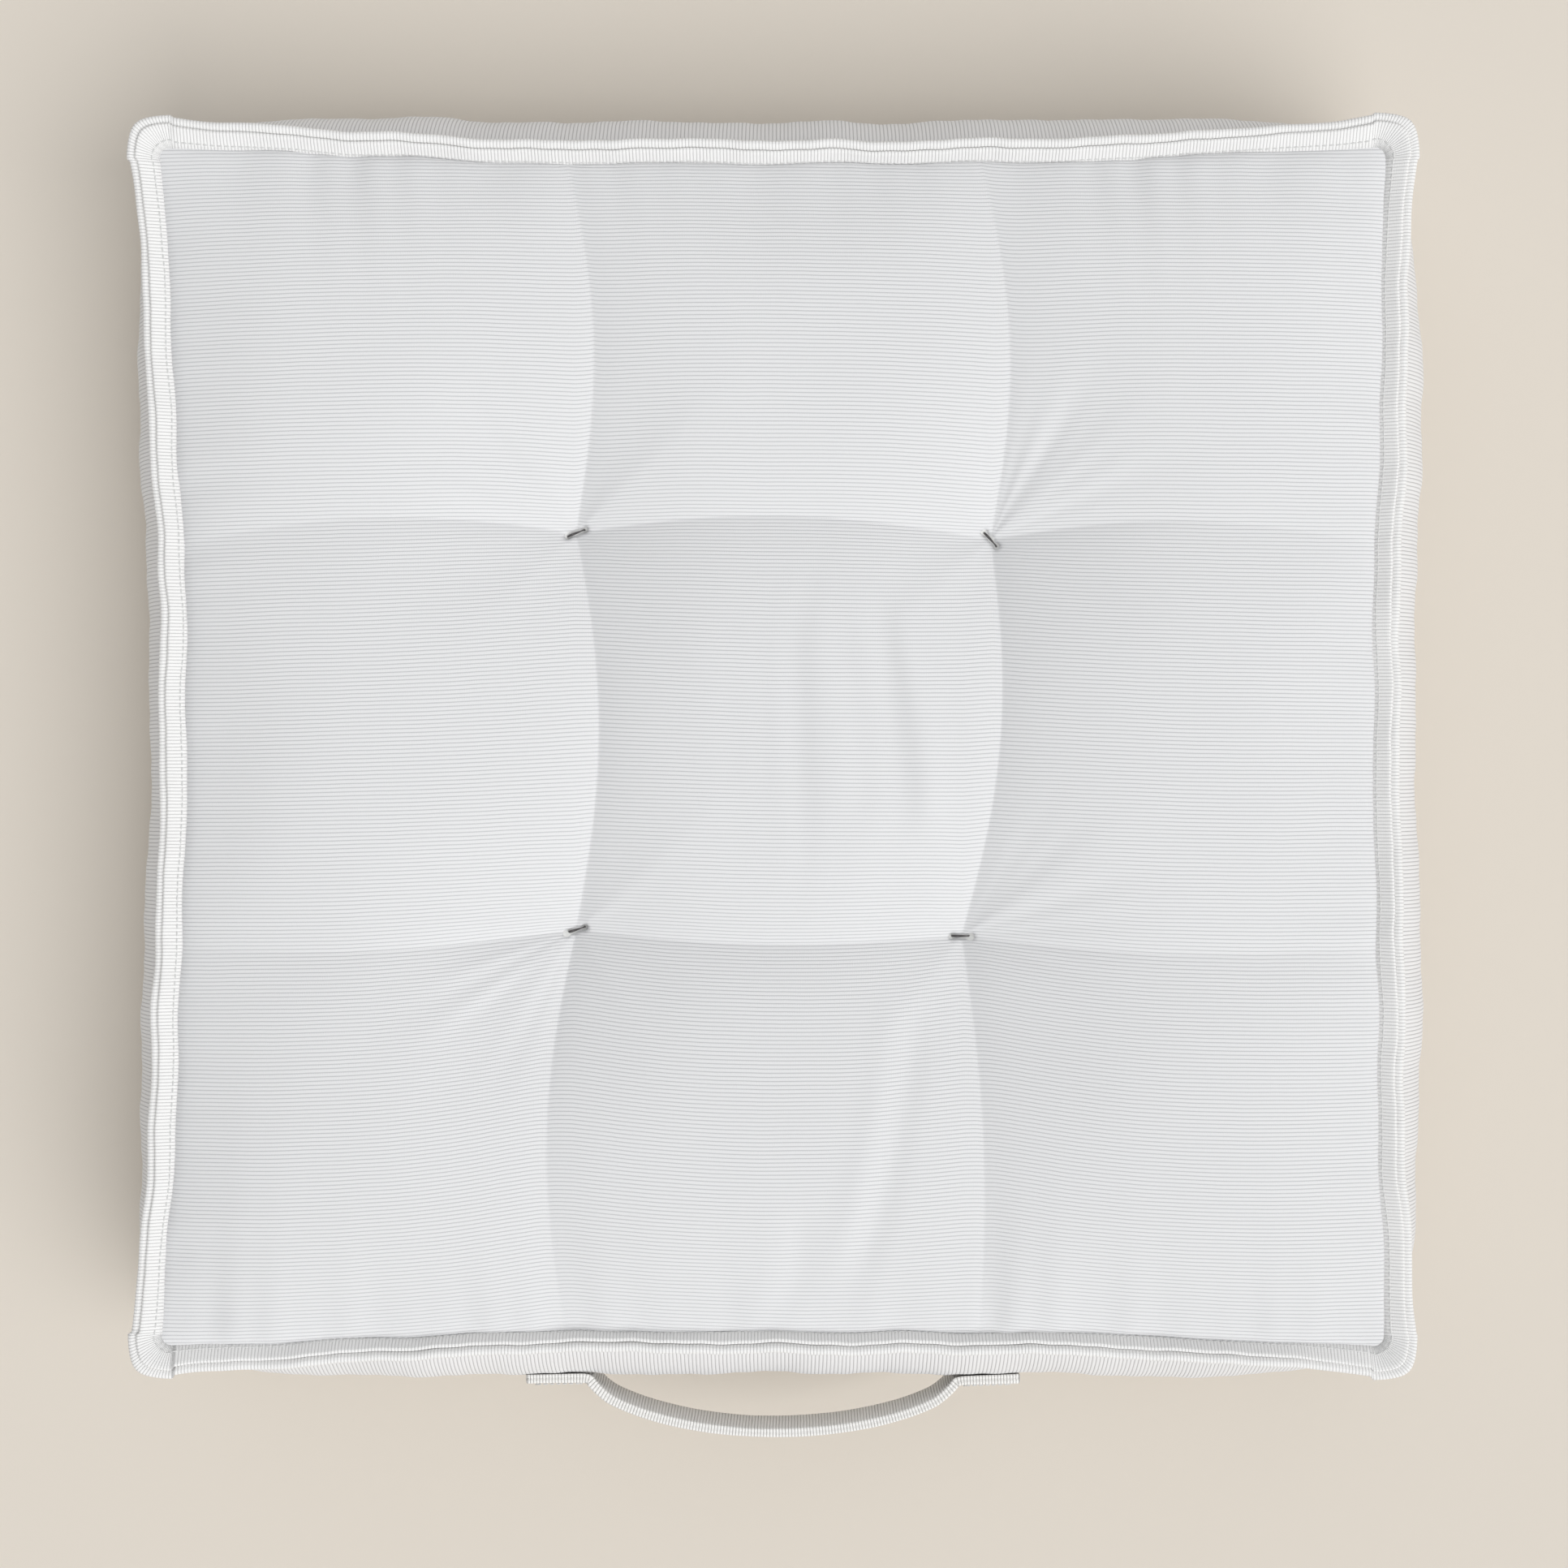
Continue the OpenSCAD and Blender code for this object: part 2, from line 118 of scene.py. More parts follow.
def planOf(a, b):
    # the lines at a third run through the tufts and bow a little between them
    x, y = seamPull(a, b)
    for name, share in tuftShares.items():
        plainX, plainY = seamPull(*share)
        nearA = np.maximum(0, 1 - np.abs(a - share[0]) / (2 * third))
        nearB = np.maximum(0, 1 - np.abs(b - share[1]) / (2 * third))
        x = x + nearA * nearB * (tuftSpots[name][0] - plainX)
        y = y + nearA * nearB * (tuftSpots[name][1] - plainY)
    c = cushion
    turned = np.where(b < third, 1, -1) * np.where((b < -third) & (a > 0), -0.5, 1)
    bow = np.cos(1.5 * np.pi * b) * turned
    x = x + c["sway"] * bow * np.maximum(0, 1 - np.abs(np.abs(a) - third) * 2)
    bow = np.abs(np.cos(1.5 * np.pi * a)) * np.where(b < 0, c["lift"][0], c["lift"][1])
    y = y + bow * np.maximum(0, 1 - np.abs(np.abs(b) - third) * 2)
    return x, y


def swell(t):
    # full in the middle, nothing at the seams
    return np.sqrt(np.maximum(0, 1 - np.abs(t) ** 4))


def padHeight(a, b):
    c = cushion
    full = swell(a) * swell(b)
    x, y = planOf(a, b)
    dip = 0
    for spot in tuftSpots.values():
        r = np.hypot(x - spot[0], y - spot[1])
        dip = dip + np.exp(-np.sqrt(r * r + c["tuftPad"] ** 2) / c["tuftReach"])

    def fade(t):
        return smooth01((np.abs(t) - third) * 2.2)
    # sharp valleys along the third lines, weaker towards the seams
    reach = c["creaseReach"] / (c["width"] / 2)
    valleyA = np.exp(-np.abs(np.abs(a) - third) / reach) * (1 - c["creaseFade"][0] * fade(b))
    valleyB = np.exp(-np.abs(np.abs(b) - third) / reach) * (1 - c["creaseFade"][1] * fade(a))
    valley = np.maximum(valleyA, valleyB)
    return (c["crown"] - c["creaseDepth"] * valley - c["tuftDepth"] * np.minimum(c["dipMost"], dip)) * full


# wrinkles: the soft patch in the middle square is a place and its reach, each long wrinkle is
# start, end, width and height, each fan is its direction and height, the puckers height and reach
folds = {
    "patch": (0.034, 0.005, 0.048, 0.062), "waves": 0.0017,
    "long": ((0.070, -0.112, 0.036, -0.266, 0.0070, -0.0019),
             (0.012, -0.215, 0.004, -0.275, 0.0070, -0.0011),
             (0.056, 0.078, 0.074, -0.052, 0.0065, 0.0019),
             (0.030, 0.070, 0.042, -0.045, 0.0075, -0.0012)),
    "fan": {"back_left": (146, 0.0012), "back_right": (50, 0.0014),
            "front_left": (215, 0.0015), "front_right": (20, 0.0013)},
    "fanSpread": 34, "fanMiddle": 0.044, "fanReach": 0.032,
    "pullLines": 0.00022, "pullMiddle": 0.022, "pullReach": 0.012,
    "pucker": (0.0031, 0.027), "sidePuckers": 0.45, "puckerStart": 0.004,
}


def foldHeight(a, b):
    # small wrinkles that sit on the padded shape
    x, y = planOf(a, b)
    f = folds
    cx, cy, sx, sy = f["patch"]
    patch = np.exp(-((x - cx) / sx) ** 2 - ((y - cy) / sy) ** 2)
    bent = x + 0.10 * y * wave(y, seeds["wrinkleBend"], 2, 0.2)
    h = f["waves"] * patch * wave(bent, seeds["wrinkle"], 5, 0.075)
    for x0, y0, x1, y1, wide, high in f["long"]:
        d = np.array([x1 - x0, y1 - y0])
        size = np.hypot(*d)
        t = ((x - x0) * d[0] + (y - y0) * d[1]) / size ** 2
        off = ((x - x0) * d[1] - (y - y0) * d[0]) / size + 0.004 * np.sin(3 * t)
        ends = smooth01(t * 4) * smooth01((1 - t) * 4)
        # a low hollow runs beside each wrinkle
        hollow = 0.5 * np.exp(-((off - 1.7 * wide) / wide) ** 2)
        h = h + high * ends * (np.exp(-(off / wide) ** 2) - hollow)
    for k, (name, (way, high)) in enumerate(f["fan"].items()):
        dx, dy = x - tuftSpots[name][0], y - tuftSpots[name][1]
        r = np.hypot(dx, dy)
        turn = (np.degrees(np.arctan2(dy, dx)) - way + 180) % 360 - 180
        ray = wave(turn, seeds["fan"] + k, 3, 38) * np.exp(-(turn / f["fanSpread"]) ** 2)
        h = h + high * ray * np.exp(-((r - f["fanMiddle"]) / f["fanReach"]) ** 2)
        # faint pull lines all round
        pull = wave(turn, seeds["pullLine"] + k, 4, 90)
        h = h + f["pullLines"] * pull * np.exp(-((r - f["pullMiddle"]) / f["pullReach"]) ** 2)
    high, reach = f["pucker"]
    weak = f["sidePuckers"]
    seams = ((1 + b, a, 1), (1 - b, a, 1), (1 + a, b, weak), (1 - a, b, weak))
    for k, (s, along, scale) in enumerate(seams):
        gap = s * cushion["depth"] / 2
        strength = 0.5 + smooth01(wave(along, seeds["puckerStrength"] + k, 2, 1.3))
        swing = wave(along, seeds["pucker"] + k, 7, 0.42) * strength
        h = h + scale * high * swing * np.exp(-gap / reach) * smooth01(gap / f["puckerStart"])
    return h * np.minimum(1, 4 * swell(a) * swell(b))


tuft = {
    "stitch": 0.0088, "strand": 0.00030, "plies": 0.00032, "sink": 0.0013, "beside": 0.004,
    "slit": 0.0028, "slitWide": 0.0013, "slitPast": 0.0020, "hole": 0.0075, "holeWide": 0.0012,
    "arch": 0.0005, "dive": 0.0012, "underArch": 0.0002,
}


def slitDepth(x, y):
    # each tuft stitch pinches a short slit with a hole at both ends
    depth = 0
    for name, spot in tuftSpots.items():
        turn = math.radians(tuftTurn[name])
        along = (x - spot[0]) * math.cos(turn) + (y - spot[1]) * math.sin(turn)
        across = -(x - spot[0]) * math.sin(turn) + (y - spot[1]) * math.cos(turn)
        inside = smooth01((tuft["stitch"] / 2 + tuft["slitPast"] - np.abs(along)) / 0.0015)
        depth = depth + tuft["slit"] * np.exp(-(across / tuft["slitWide"]) ** 2) * inside
        for way in (-1, 1):
            gap = np.hypot(along - way * tuft["stitch"] / 2, across)
            depth = depth + tuft["hole"] * np.exp(-(gap / tuft["holeWide"]) ** 2)
    return depth


cells = cushion["cells"]
bandCells = cushion["bandCells"]


def rimOf(grid):
    # closed run of rim points, counter-clockwise from the front left corner
    return np.concatenate([grid[0, :-1], grid[:-1, -1], grid[-1, :0:-1], grid[:0:-1, 0]])


def sideOf(grid, k):
    # one side of a grid, walked counter-clockwise
    return (grid[0], grid[:, -1], grid[-1, ::-1], grid[::-1, 0])[k]


def bandOut(side, s, h):
    # how far the band stands out at s along its side and h up it, both from -1 to 1
    c = cushion
    around = (side + (s + 1) / 2) / 4
    out = c["bulge"][side] * swell(s) * np.maximum(0, 1 - h * h) ** c["bulgePower"]
    slow = 1 + c["bandWander"] * wave(around, seeds["bandSwell"], 6, 0.25)
    ripple = c["bandRipple"] * wave(around, seeds["bandRipple"], 4, 0.02)
    return out * slow + ripple * (1 - h * h) * swell(s)


def panelGrids(a, b, detail):
    # top and bottom panels; detail adds the wrinkles and the slits of the tufts
    x, y = planOf(a, b)
    rise = padHeight(a, b)
    top = rise + (foldHeight(a, b) - slitDepth(x, y) if detail else 0)
    low = rise - (slitDepth(x, y) * 0.6 if detail else 0)
    high = np.stack([x, y, cushion["topSeam"] + top], -1)
    under = np.stack([x, y, cushion["bottomSeam"] - low], -1)
    return high, under


def bandGrid(side, top, bottom, lines, rows):
    high, low = sideOf(top, side), sideOf(bottom, side)
    grid = low + (high - low) * (rows[:, None, None] + 1) / 2
    grid[..., :2] += sideNormals[side] * bandOut(side, lines[None, :], rows[:, None])[..., None]
    return grid


line = np.linspace(-1, 1, cells + 1)
bandLine = np.linspace(-1, 1, bandCells + 1)
roughTop, roughBottom = panelGrids(*np.meshgrid(line, line), False)
floorClear = cushion["floorClear"]
roughBottom[..., 2] = np.maximum(roughBottom[..., 2], floorClear)
bandRings = [bandGrid(k, roughTop, roughBottom, line, bandLine)[1:-1, :-1] for k in range(4)]
bandRings = np.concatenate(bandRings, 1)


def weldedCover():
    # one closed skin: top grid, bottom grid and the band's rings between them; the last
    # value is every ring of points from the lower seam to the upper one
    count = (cells + 1) ** 2
    verts = np.concatenate([roughTop.reshape(-1, 3), roughBottom.reshape(-1, 3), bandRings.reshape(-1, 3)])
    index = np.arange(count).reshape(cells + 1, cells + 1)
    faces = []
    for i in range(cells):
        for j in range(cells):
            a, b, c, d = index[i, j], index[i, j + 1], index[i + 1, j + 1], index[i + 1, j]
            faces.append((a, b, c, d))
            faces.append((d + count, c + count, b + count, a + count))
    rim = rimOf(index[..., None])[:, 0]
    around = np.arange(4 * cells)
    rings = [rim + count] + [2 * count + k * 4 * cells + around for k in range(bandCells - 1)] + [rim]
    for low, high in zip(rings[:-1], rings[1:]):
        for j in range(4 * cells):
            k = (j + 1) % (4 * cells)
            faces.append((low[j], low[k], high[k], high[j]))
    return verts, faces, rings


def meshObject(name, verts, faces, uv=None, material=None):
    mesh = bpy.data.meshes.new(name)
    mesh.from_pydata([tuple(v) for v in verts], [], [tuple(int(i) for i in f) for f in faces])
    if uv is not None:
        layer = mesh.uv_layers.new(name="cloth")
        loops = np.empty(len(mesh.loops), int)
        mesh.loops.foreach_get("vertex_index", loops)
        layer.data.foreach_set("uv", np.asarray(uv, np.float32)[loops].ravel())
    mesh.polygons.foreach_set("use_smooth", [True] * len(mesh.polygons))
    mesh.update()
    if material is not None:
        mesh.materials.append(material)
    obj = bpy.data.objects.new(name, mesh)
    scene.collection.objects.link(obj)
    return obj


def points(obj):
    co = np.empty(len(obj.data.vertices) * 3, np.float32)
    obj.data.vertices.foreach_get("co", co)
    return co.reshape(-1, 3).astype(float)


def keepResult(obj):
    # turns the evaluated object into a plain mesh and drops its modifiers
    depsgraph = bpy.context.evaluated_depsgraph_get()
    result = obj.evaluated_get(depsgraph)
    mesh = bpy.data.meshes.new_from_object(result, preserve_all_data_layers=True, depsgraph=depsgraph)
    old = obj.data
    obj.modifiers.clear()
    obj.data = mesh
    bpy.data.meshes.remove(old)
    return obj


print("stage: stuffing the cover")
clothWork = {
    "frames": 16, "steps": 5, "pressure": 2.8, "excess": 0.007, "cap": 0.009,
    "mass": 0.25, "stretch": 30, "shear": 12, "bend": 0.8,
    "tuftHold": 0.0045, "floorHold": 0.6, "floorTouch": 0.002,
    "panelSoften": 10, "bandSoften": 4,
}
coverVerts, coverFaces, ringIndex = weldedCover()
panelPoints = (cells + 1) ** 2


def stuffed():
    # cloth run on the welded cover, held at its seams and tufts; gives how far each point moves
    body = meshObject("stuffing_run", coverVerts, coverFaces)
    pin = body.vertex_groups.new(name="held")
    held = set(int(i) for i in ringIndex[0]) | set(int(i) for i in ringIndex[-1])
    pin.add(list(held), 1.0, "REPLACE")
    for name in tuftNames:
        spot = tuftSpots[name]
        for layer in (0, panelPoints):
            gap = np.hypot(*(coverVerts[layer:layer + panelPoints, :2] - spot).T)
            close = np.nonzero(gap < clothWork["tuftHold"])[0] + layer
            pin.add([int(i) for i in close], 1.0, "REPLACE")
    flat = np.nonzero(coverVerts[panelPoints:2 * panelPoints, 2] < clothWork["floorTouch"])[0] + panelPoints
    pin.add([int(i) for i in flat], clothWork["floorHold"], "REPLACE")
    cloth = body.modifiers.new("Cloth", "CLOTH")
    s = cloth.settings
    s.quality = clothWork["steps"]
    s.mass = clothWork["mass"]
    s.tension_stiffness = s.compression_stiffness = clothWork["stretch"]
    s.shear_stiffness = clothWork["shear"]
    s.bending_stiffness = clothWork["bend"]
    s.use_pressure = True
    s.uniform_pressure_force = clothWork["pressure"]
    s.shrink_min = -clothWork["excess"]
    s.vertex_group_mass = "held"
    s.pin_stiffness = 1
    s.effector_weights.gravity = 0
    cloth.collision_settings.use_collision = False
    cloth.point_cache.frame_start = 1
    cloth.point_cache.frame_end = clothWork["frames"]
    scene.frame_start, scene.frame_end = 1, clothWork["frames"]
    for f in range(1, clothWork["frames"] + 1):
        scene.frame_set(f)
        bpy.context.view_layer.update()
    keepResult(body)
    after = points(body)
    bpy.data.objects.remove(body)
    scene.frame_set(1)
    shift = after - coverVerts
    size = np.linalg.norm(shift, axis=1, keepdims=True)
    cap = clothWork["cap"]
    return shift * cap * np.tanh(size / cap) / np.maximum(size, 1e-9)


def softened(grid, times, wrap=False):
    # evens out the grid's own pattern in the cloth result
    for _ in range(times):
        for axis in (0, 1):
            low, high = np.roll(grid, 1, axis), np.roll(grid, -1, axis)
            mixed = grid / 2 + (low + high) / 4
            if axis == 0 or not wrap:
                ends = [slice(None)] * 3
                for end in (0, -1):
                    ends[axis] = end
                    mixed[tuple(ends)] = grid[tuple(ends)]
            grid = mixed
    return grid


shift = stuffed()
topShift = shift[:panelPoints].reshape(cells + 1, cells + 1, 3)
bottomShift = shift[panelPoints:2 * panelPoints].reshape(cells + 1, cells + 1, 3)
rim = rimOf(np.arange(panelPoints).reshape(cells + 1, cells + 1)[..., None])[:, 0]
topShift = softened(topShift, clothWork["panelSoften"])
bottomShift = softened(bottomShift, clothWork["panelSoften"])
bandShift = shift[2 * panelPoints:].reshape(bandCells - 1, 4 * cells, 3)
ringShift = np.concatenate([shift[panelPoints + rim][None], bandShift, shift[rim][None]])
ringShift = softened(ringShift, clothWork["bandSoften"], True)
print("  cloth moved up to %.1f mm" % (np.abs(shift).max() * 1000))


def sample(grid, rows, cols, wrap=False):
    # value of a coarse grid between its lines; rows and cols are counted in cells
    r0 = np.clip(np.floor(rows).astype(int), 0, grid.shape[0] - 2)
    fr = (rows - r0)[:, None, None]
    c0 = np.floor(cols).astype(int)
    fc = (cols - c0)[None, :, None]
    if wrap:
        c0, c1 = c0 % grid.shape[1], (c0 + 1) % grid.shape[1]
    else:
        c0 = np.minimum(c0, grid.shape[1] - 2)
        fc = (cols - c0)[None, :, None]
        c1 = c0 + 1
    low = grid[r0][:, c0] * (1 - fc) + grid[r0][:, c1] * fc
    high = grid[r0 + 1][:, c0] * (1 - fc) + grid[r0 + 1][:, c1] * fc
    return low * (1 - fr) + high * fr


def denseLines():
    # closer lines where the tufts are
    t = np.linspace(-1, 1, 8001)
    density = 1 + 5 * np.exp(-((np.abs(t) - third) / 0.024) ** 2)
    total = np.concatenate([[0], np.cumsum((density[1:] + density[:-1]) / 2)])
    return np.interp(np.linspace(0, total[-1], cushion["fineLines"]), total, t)


lines = denseLines()
evenRows = np.linspace(-1, 1, cushion["fineRows"])
rows = np.sin(evenRows * np.pi / 2) * 0.35 + evenRows * 0.65
place = (lines + 1) / 2 * cells
topGrid, bottomGrid = panelGrids(*np.meshgrid(lines, lines), True)
topGrid += sample(topShift, place, place)
bottomGrid += sample(bottomShift, place, place)
# the underside rests flat, easing into the floor
ease = cushion["floorEase"]
bottomGrid[..., 2] = floorClear + ease * np.logaddexp(0, (bottomGrid[..., 2] - floorClear) / ease)
bandGrids = []
for k in range(4):
    grid = bandGrid(k, topGrid, bottomGrid, lines, rows)
    inner = sample(ringShift, (rows + 1) / 2 * bandCells, k * cells + place, True)
    ends = (1 - np.abs(rows) ** 8)[:, None, None]
    grid += inner * ends
    bandGrids.append(grid)

print("stage: cloth materials")


def nodeTools(mat):
    tree = mat.node_tree
    for node in list(tree.nodes):
        tree.nodes.remove(node)

    def add(kind, **values):
        node = tree.nodes.new(kind)
        for key, value in values.items():
            setattr(node, key, value)
        return node

    def wire(a, b):
        tree.links.new(a, b)

    def maths(op, a, b=None, c=None):
        node = add("ShaderNodeMath", operation=op)
        for socket, value in zip(node.inputs, (a, b, c)):
            if value is None:
                continue
            if isinstance(value, (int, float)):
                socket.default_value = value
            else:
                wire(value, socket)
        return node.outputs[0]
    return tree, add, wire, maths


def finished(add, wire, colour, bump):
    # every cloth, thread and filling ends in one shader
    shader = add("ShaderNodeBsdfPrincipled")
    wire(colour, shader.inputs["Base Color"])
    wire(bump.outputs["Normal"], shader.inputs["Normal"])
    wire(shader.outputs["BSDF"], add("ShaderNodeOutputMaterial").inputs["Surface"])
    return shader


def ribbedCotton(name, values):
    # cords run along u of the cloth map; v crosses them
    mat = bpy.data.materials.new(name)
    mat.use_nodes = True
    tree, add, wire, maths = nodeTools(mat)
    uv = add("ShaderNodeUVMap", uv_map="cloth")
    drift = add("ShaderNodeTexNoise", noise_dimensions="2D")
    drift.inputs["Scale"].default_value = values["driftScale"]
    drift.inputs["Detail"].default_value = 3
    wire(uv.outputs["UV"], drift.inputs["Vector"])
    split = add("ShaderNodeSeparateXYZ")
    wire(uv.outputs["UV"], split.inputs[0])
    u, v = split.outputs[0], split.outputs[1]
    # each cord wanders a little, and its thickness changes along it
    shiftV = maths("MULTIPLY", maths("SUBTRACT", drift.outputs["Fac"], 0.5), values["wander"])
    v = maths("ADD", v, shiftV)
    cordPhase = maths("MULTIPLY", v, 1 / values["ribPitch"])
    cordIndex = maths("FLOOR", cordPhase)
    f = maths("FRACT", cordPhase)
    centred = maths("SUBTRACT", maths("MULTIPLY", f, 2), 1)
    fall = maths("SUBTRACT", 1, maths("MULTIPLY", centred, centred))
    roundTop = maths("SQRT", maths("MAXIMUM", fall, 0.0))
    # pin holes sit in the gaps, offset on every other cord
    offset = maths("MULTIPLY", maths("MODULO", cordIndex, 2), 0.5)
    alongPhase = maths("FRACT", maths("ADD", maths("MULTIPLY", u, 1 / values["pinPitch"]), offset))
    pinWave = maths("ABSOLUTE", maths("SUBTRACT", maths("MULTIPLY", alongPhase, 2), 1))
    groove = maths("POWER", maths("ABSOLUTE", centred), values["grooveSharp"])
    pins = maths("MULTIPLY", groove, maths("GREATER_THAN", pinWave, values["pinShare"]))
    stranded = add("ShaderNodeTexNoise", noise_dimensions="2D")
    stranded.inputs["Scale"].default_value = values["strandScale"]
    stranded.inputs["Detail"].default_value = 2
    wire(uv.outputs["UV"], stranded.inputs["Vector"])
    # weave bars: the weft passing over each cord
    bars = maths("SINE", maths("MULTIPLY", u, 2 * math.pi / values["pinPitch"]))
    height = maths("ADD", roundTop, maths("MULTIPLY", pins, -values["pinDepth"]))
    height = maths("ADD", height, maths("MULTIPLY", maths("MULTIPLY", bars, roundTop), values["barHeight"]))
    height = maths("ADD", height, maths("MULTIPLY", stranded.outputs["Fac"], values["strandHeight"]))
    bump = add("ShaderNodeBump")
    bump.inputs["Strength"].default_value = values["bump"]
    bump.inputs["Distance"].default_value = values["ribHeight"]
    wire(height, bump.inputs["Height"])
    # colour: pale cord, painted shade in the gaps between cords and in the pin holes, slow uneven patches
    ramp = add("ShaderNodeMix", data_type="RGBA")
    ramp.inputs["A"].default_value = (*values["cord"], 1)
    ramp.inputs["B"].default_value = (*values["gap"], 1)
    wire(maths("POWER", maths("ABSOLUTE", centred), values["gapSharp"]), ramp.inputs["Factor"])
    pinned = add("ShaderNodeMix", data_type="RGBA")
    pinned.inputs["B"].default_value = (*values["pin"], 1)
    wire(ramp.outputs["Result"], pinned.inputs["A"])
    wire(maths("MULTIPLY", pins, values["pinShade"]), pinned.inputs["Factor"])
    patches = add("ShaderNodeTexNoise", noise_dimensions="2D")
    patches.inputs["Scale"].default_value = values["patchScale"]
    patches.inputs["Detail"].default_value = 5
    wire(uv.outputs["UV"], patches.inputs["Vector"])
    tone = add("ShaderNodeMix", data_type="RGBA", blend_type="MULTIPLY")
    shade = add("ShaderNodeCombineXYZ")
    uneven = maths("MULTIPLY", patches.outputs["Fac"], values["patch"])
    level = maths("ADD", uneven, 1 - values["patch"] * 0.5)
    for k in range(3):
        wire(level, shade.inputs[k])
    tone.inputs["Factor"].default_value = 1
    wire(pinned.outputs["Result"], tone.inputs["A"])
    wire(shade.outputs[0], tone.inputs["B"])
    shader = finished(add, wire, tone.outputs["Result"], bump)
    shader.inputs["Specular IOR Level"].default_value = values["specular"]
    shader.inputs["Sheen Weight"].default_value = values["sheen"]
    shader.inputs["Sheen Roughness"].default_value = 0.5
    uneven = maths("MULTIPLY", stranded.outputs["Fac"], values["roughSwing"])
    wire(maths("ADD", uneven, values["rough"]), shader.inputs["Roughness"])
    return mat


cottonValues = {
    "ribPitch": 0.0019, "pinPitch": 0.0011, "ribHeight": 0.00040, "bump": 0.50,
    "wander": 0.0010, "driftScale": 18, "grooveSharp": 5.0, "gapSharp": 6.0,
    "pinShare": 0.55, "pinShade": 0.75, "pinDepth": 0.8,
    "barHeight": 0.10, "strandHeight": 0.35, "strandScale": 900, "patch": 0.035, "patchScale": 7,
    "sheen": 0.12, "specular": 0.25, "rough": 0.78, "roughSwing": 0.12,
    # gap and pin colours are painted shade for the grooves between cords and the pin holes
    "cord": (0.792, 0.793, 0.800), "gap": (0.71, 0.71, 0.72), "pin": (0.30, 0.31, 0.33),
}
bandValues = dict(cottonValues, ribPitch=0.00185, bump=0.75, pinShade=0.25,
                  gap=(0.73, 0.72, 0.715), cord=(0.86, 0.855, 0.855))
# the fold and strap are the band's cotton painted lighter and warmer: painted light for the light that shines
# through the cloth onto their shaded faces
foldLitValues = dict(bandValues, ribPitch=0.00160, bump=0.70, pinShade=0.05,
                  gap=(0.81, 0.80, 0.79), cord=(0.90, 0.895, 0.885))
strapLitValues = dict(bandValues, ribPitch=0.00150, bump=0.9, pinShade=0.05,
                   gap=(0.81, 0.785, 0.74), cord=(0.93, 0.92, 0.895))
clothTop = ribbedCotton("ribbed_cotton_panel", cottonValues)
clothBand = ribbedCotton("ribbed_cotton_band", bandValues)
clothFoldLit = ribbedCotton("ribbed_cotton_fold_painted_light", foldLitValues)
clothStrapLit = ribbedCotton("strap_cotton", strapLitValues)


def twoToned(add, wire, pattern, colour, shade, strength, distance):
    # a colour and its darker shade, mixed and raised by one pattern
    tint = add("ShaderNodeMix", data_type="RGBA")
    tint.inputs["A"].default_value = (*[part * shade for part in colour], 1)
    tint.inputs["B"].default_value = (*colour, 1)
    wire(pattern.outputs["Fac"], tint.inputs["Factor"])
    bump = add("ShaderNodeBump")
    bump.inputs["Strength"].default_value = strength
    bump.inputs["Distance"].default_value = distance
    wire(pattern.outputs["Fac"], bump.inputs["Height"])
    return finished(add, wire, tint.outputs["Result"], bump)


def threadMaterial(name, colour, twist):
    mat = bpy.data.materials.new(name)
    mat.use_nodes = True
    tree, add, wire, maths = nodeTools(mat)
    coords = add("ShaderNodeTexCoord")
    strands = add("ShaderNodeTexWave", wave_type="BANDS", bands_direction="DIAGONAL")
    strands.inputs["Scale"].default_value = twist
    strands.inputs["Distortion"].default_value = 0.6
    wire(coords.outputs["Object"], strands.inputs["Vector"])
    shader = twoToned(add, wire, strands, colour, 0.82, 0.5, 0.0002)
    shader.inputs["Roughness"].default_value = 0.55
    shader.inputs["Sheen Weight"].default_value = 0.15
    return mat


def fillingMaterial(name, colour, scale, strength):
    mat = bpy.data.materials.new(name)
    mat.use_nodes = True
    tree, add, wire, maths = nodeTools(mat)
    coords = add("ShaderNodeTexCoord")
    fibres = add("ShaderNodeTexNoise")
    fibres.inputs["Scale"].default_value = scale
    fibres.inputs["Detail"].default_value = 6
    fibres.inputs["Distortion"].default_value = 1.5
    wire(coords.outputs["Object"], fibres.inputs["Vector"])
    shader = twoToned(add, wire, fibres, colour, 0.85, strength, 0.001)
    shader.inputs["Roughness"].default_value = 0.95
    return mat


# the tufting thread is near black: painted shade for the holes and slit that it sinks into
tuftThreadShaded = threadMaterial("tufting_thread_painted_shade", (0.085, 0.078, 0.080), 900)
seamThread = threadMaterial("sewing_thread", (0.80, 0.80, 0.79), 1400)
battingMat = fillingMaterial("batting_fibre", (0.86, 0.86, 0.84), 240, 0.7)
foamMat = fillingMaterial("foam_cells", (0.82, 0.78, 0.62), 900, 0.5)

print("stage: cover pieces")


def clothSteps(grid):
    # length of cloth along the rows and columns, measured from the middle line
    du = np.linalg.norm(np.diff(grid, axis=1), axis=2)
    dv = np.linalg.norm(np.diff(grid, axis=0), axis=2)
    u = np.concatenate([np.zeros((grid.shape[0], 1)), np.cumsum(du, 1)], 1)
    v = np.concatenate([np.zeros((1, grid.shape[1])), np.cumsum(dv, 0)], 0)
    u -= u[:, [grid.shape[1] // 2]]
    v -= v[[grid.shape[0] // 2], :]
    return u, v


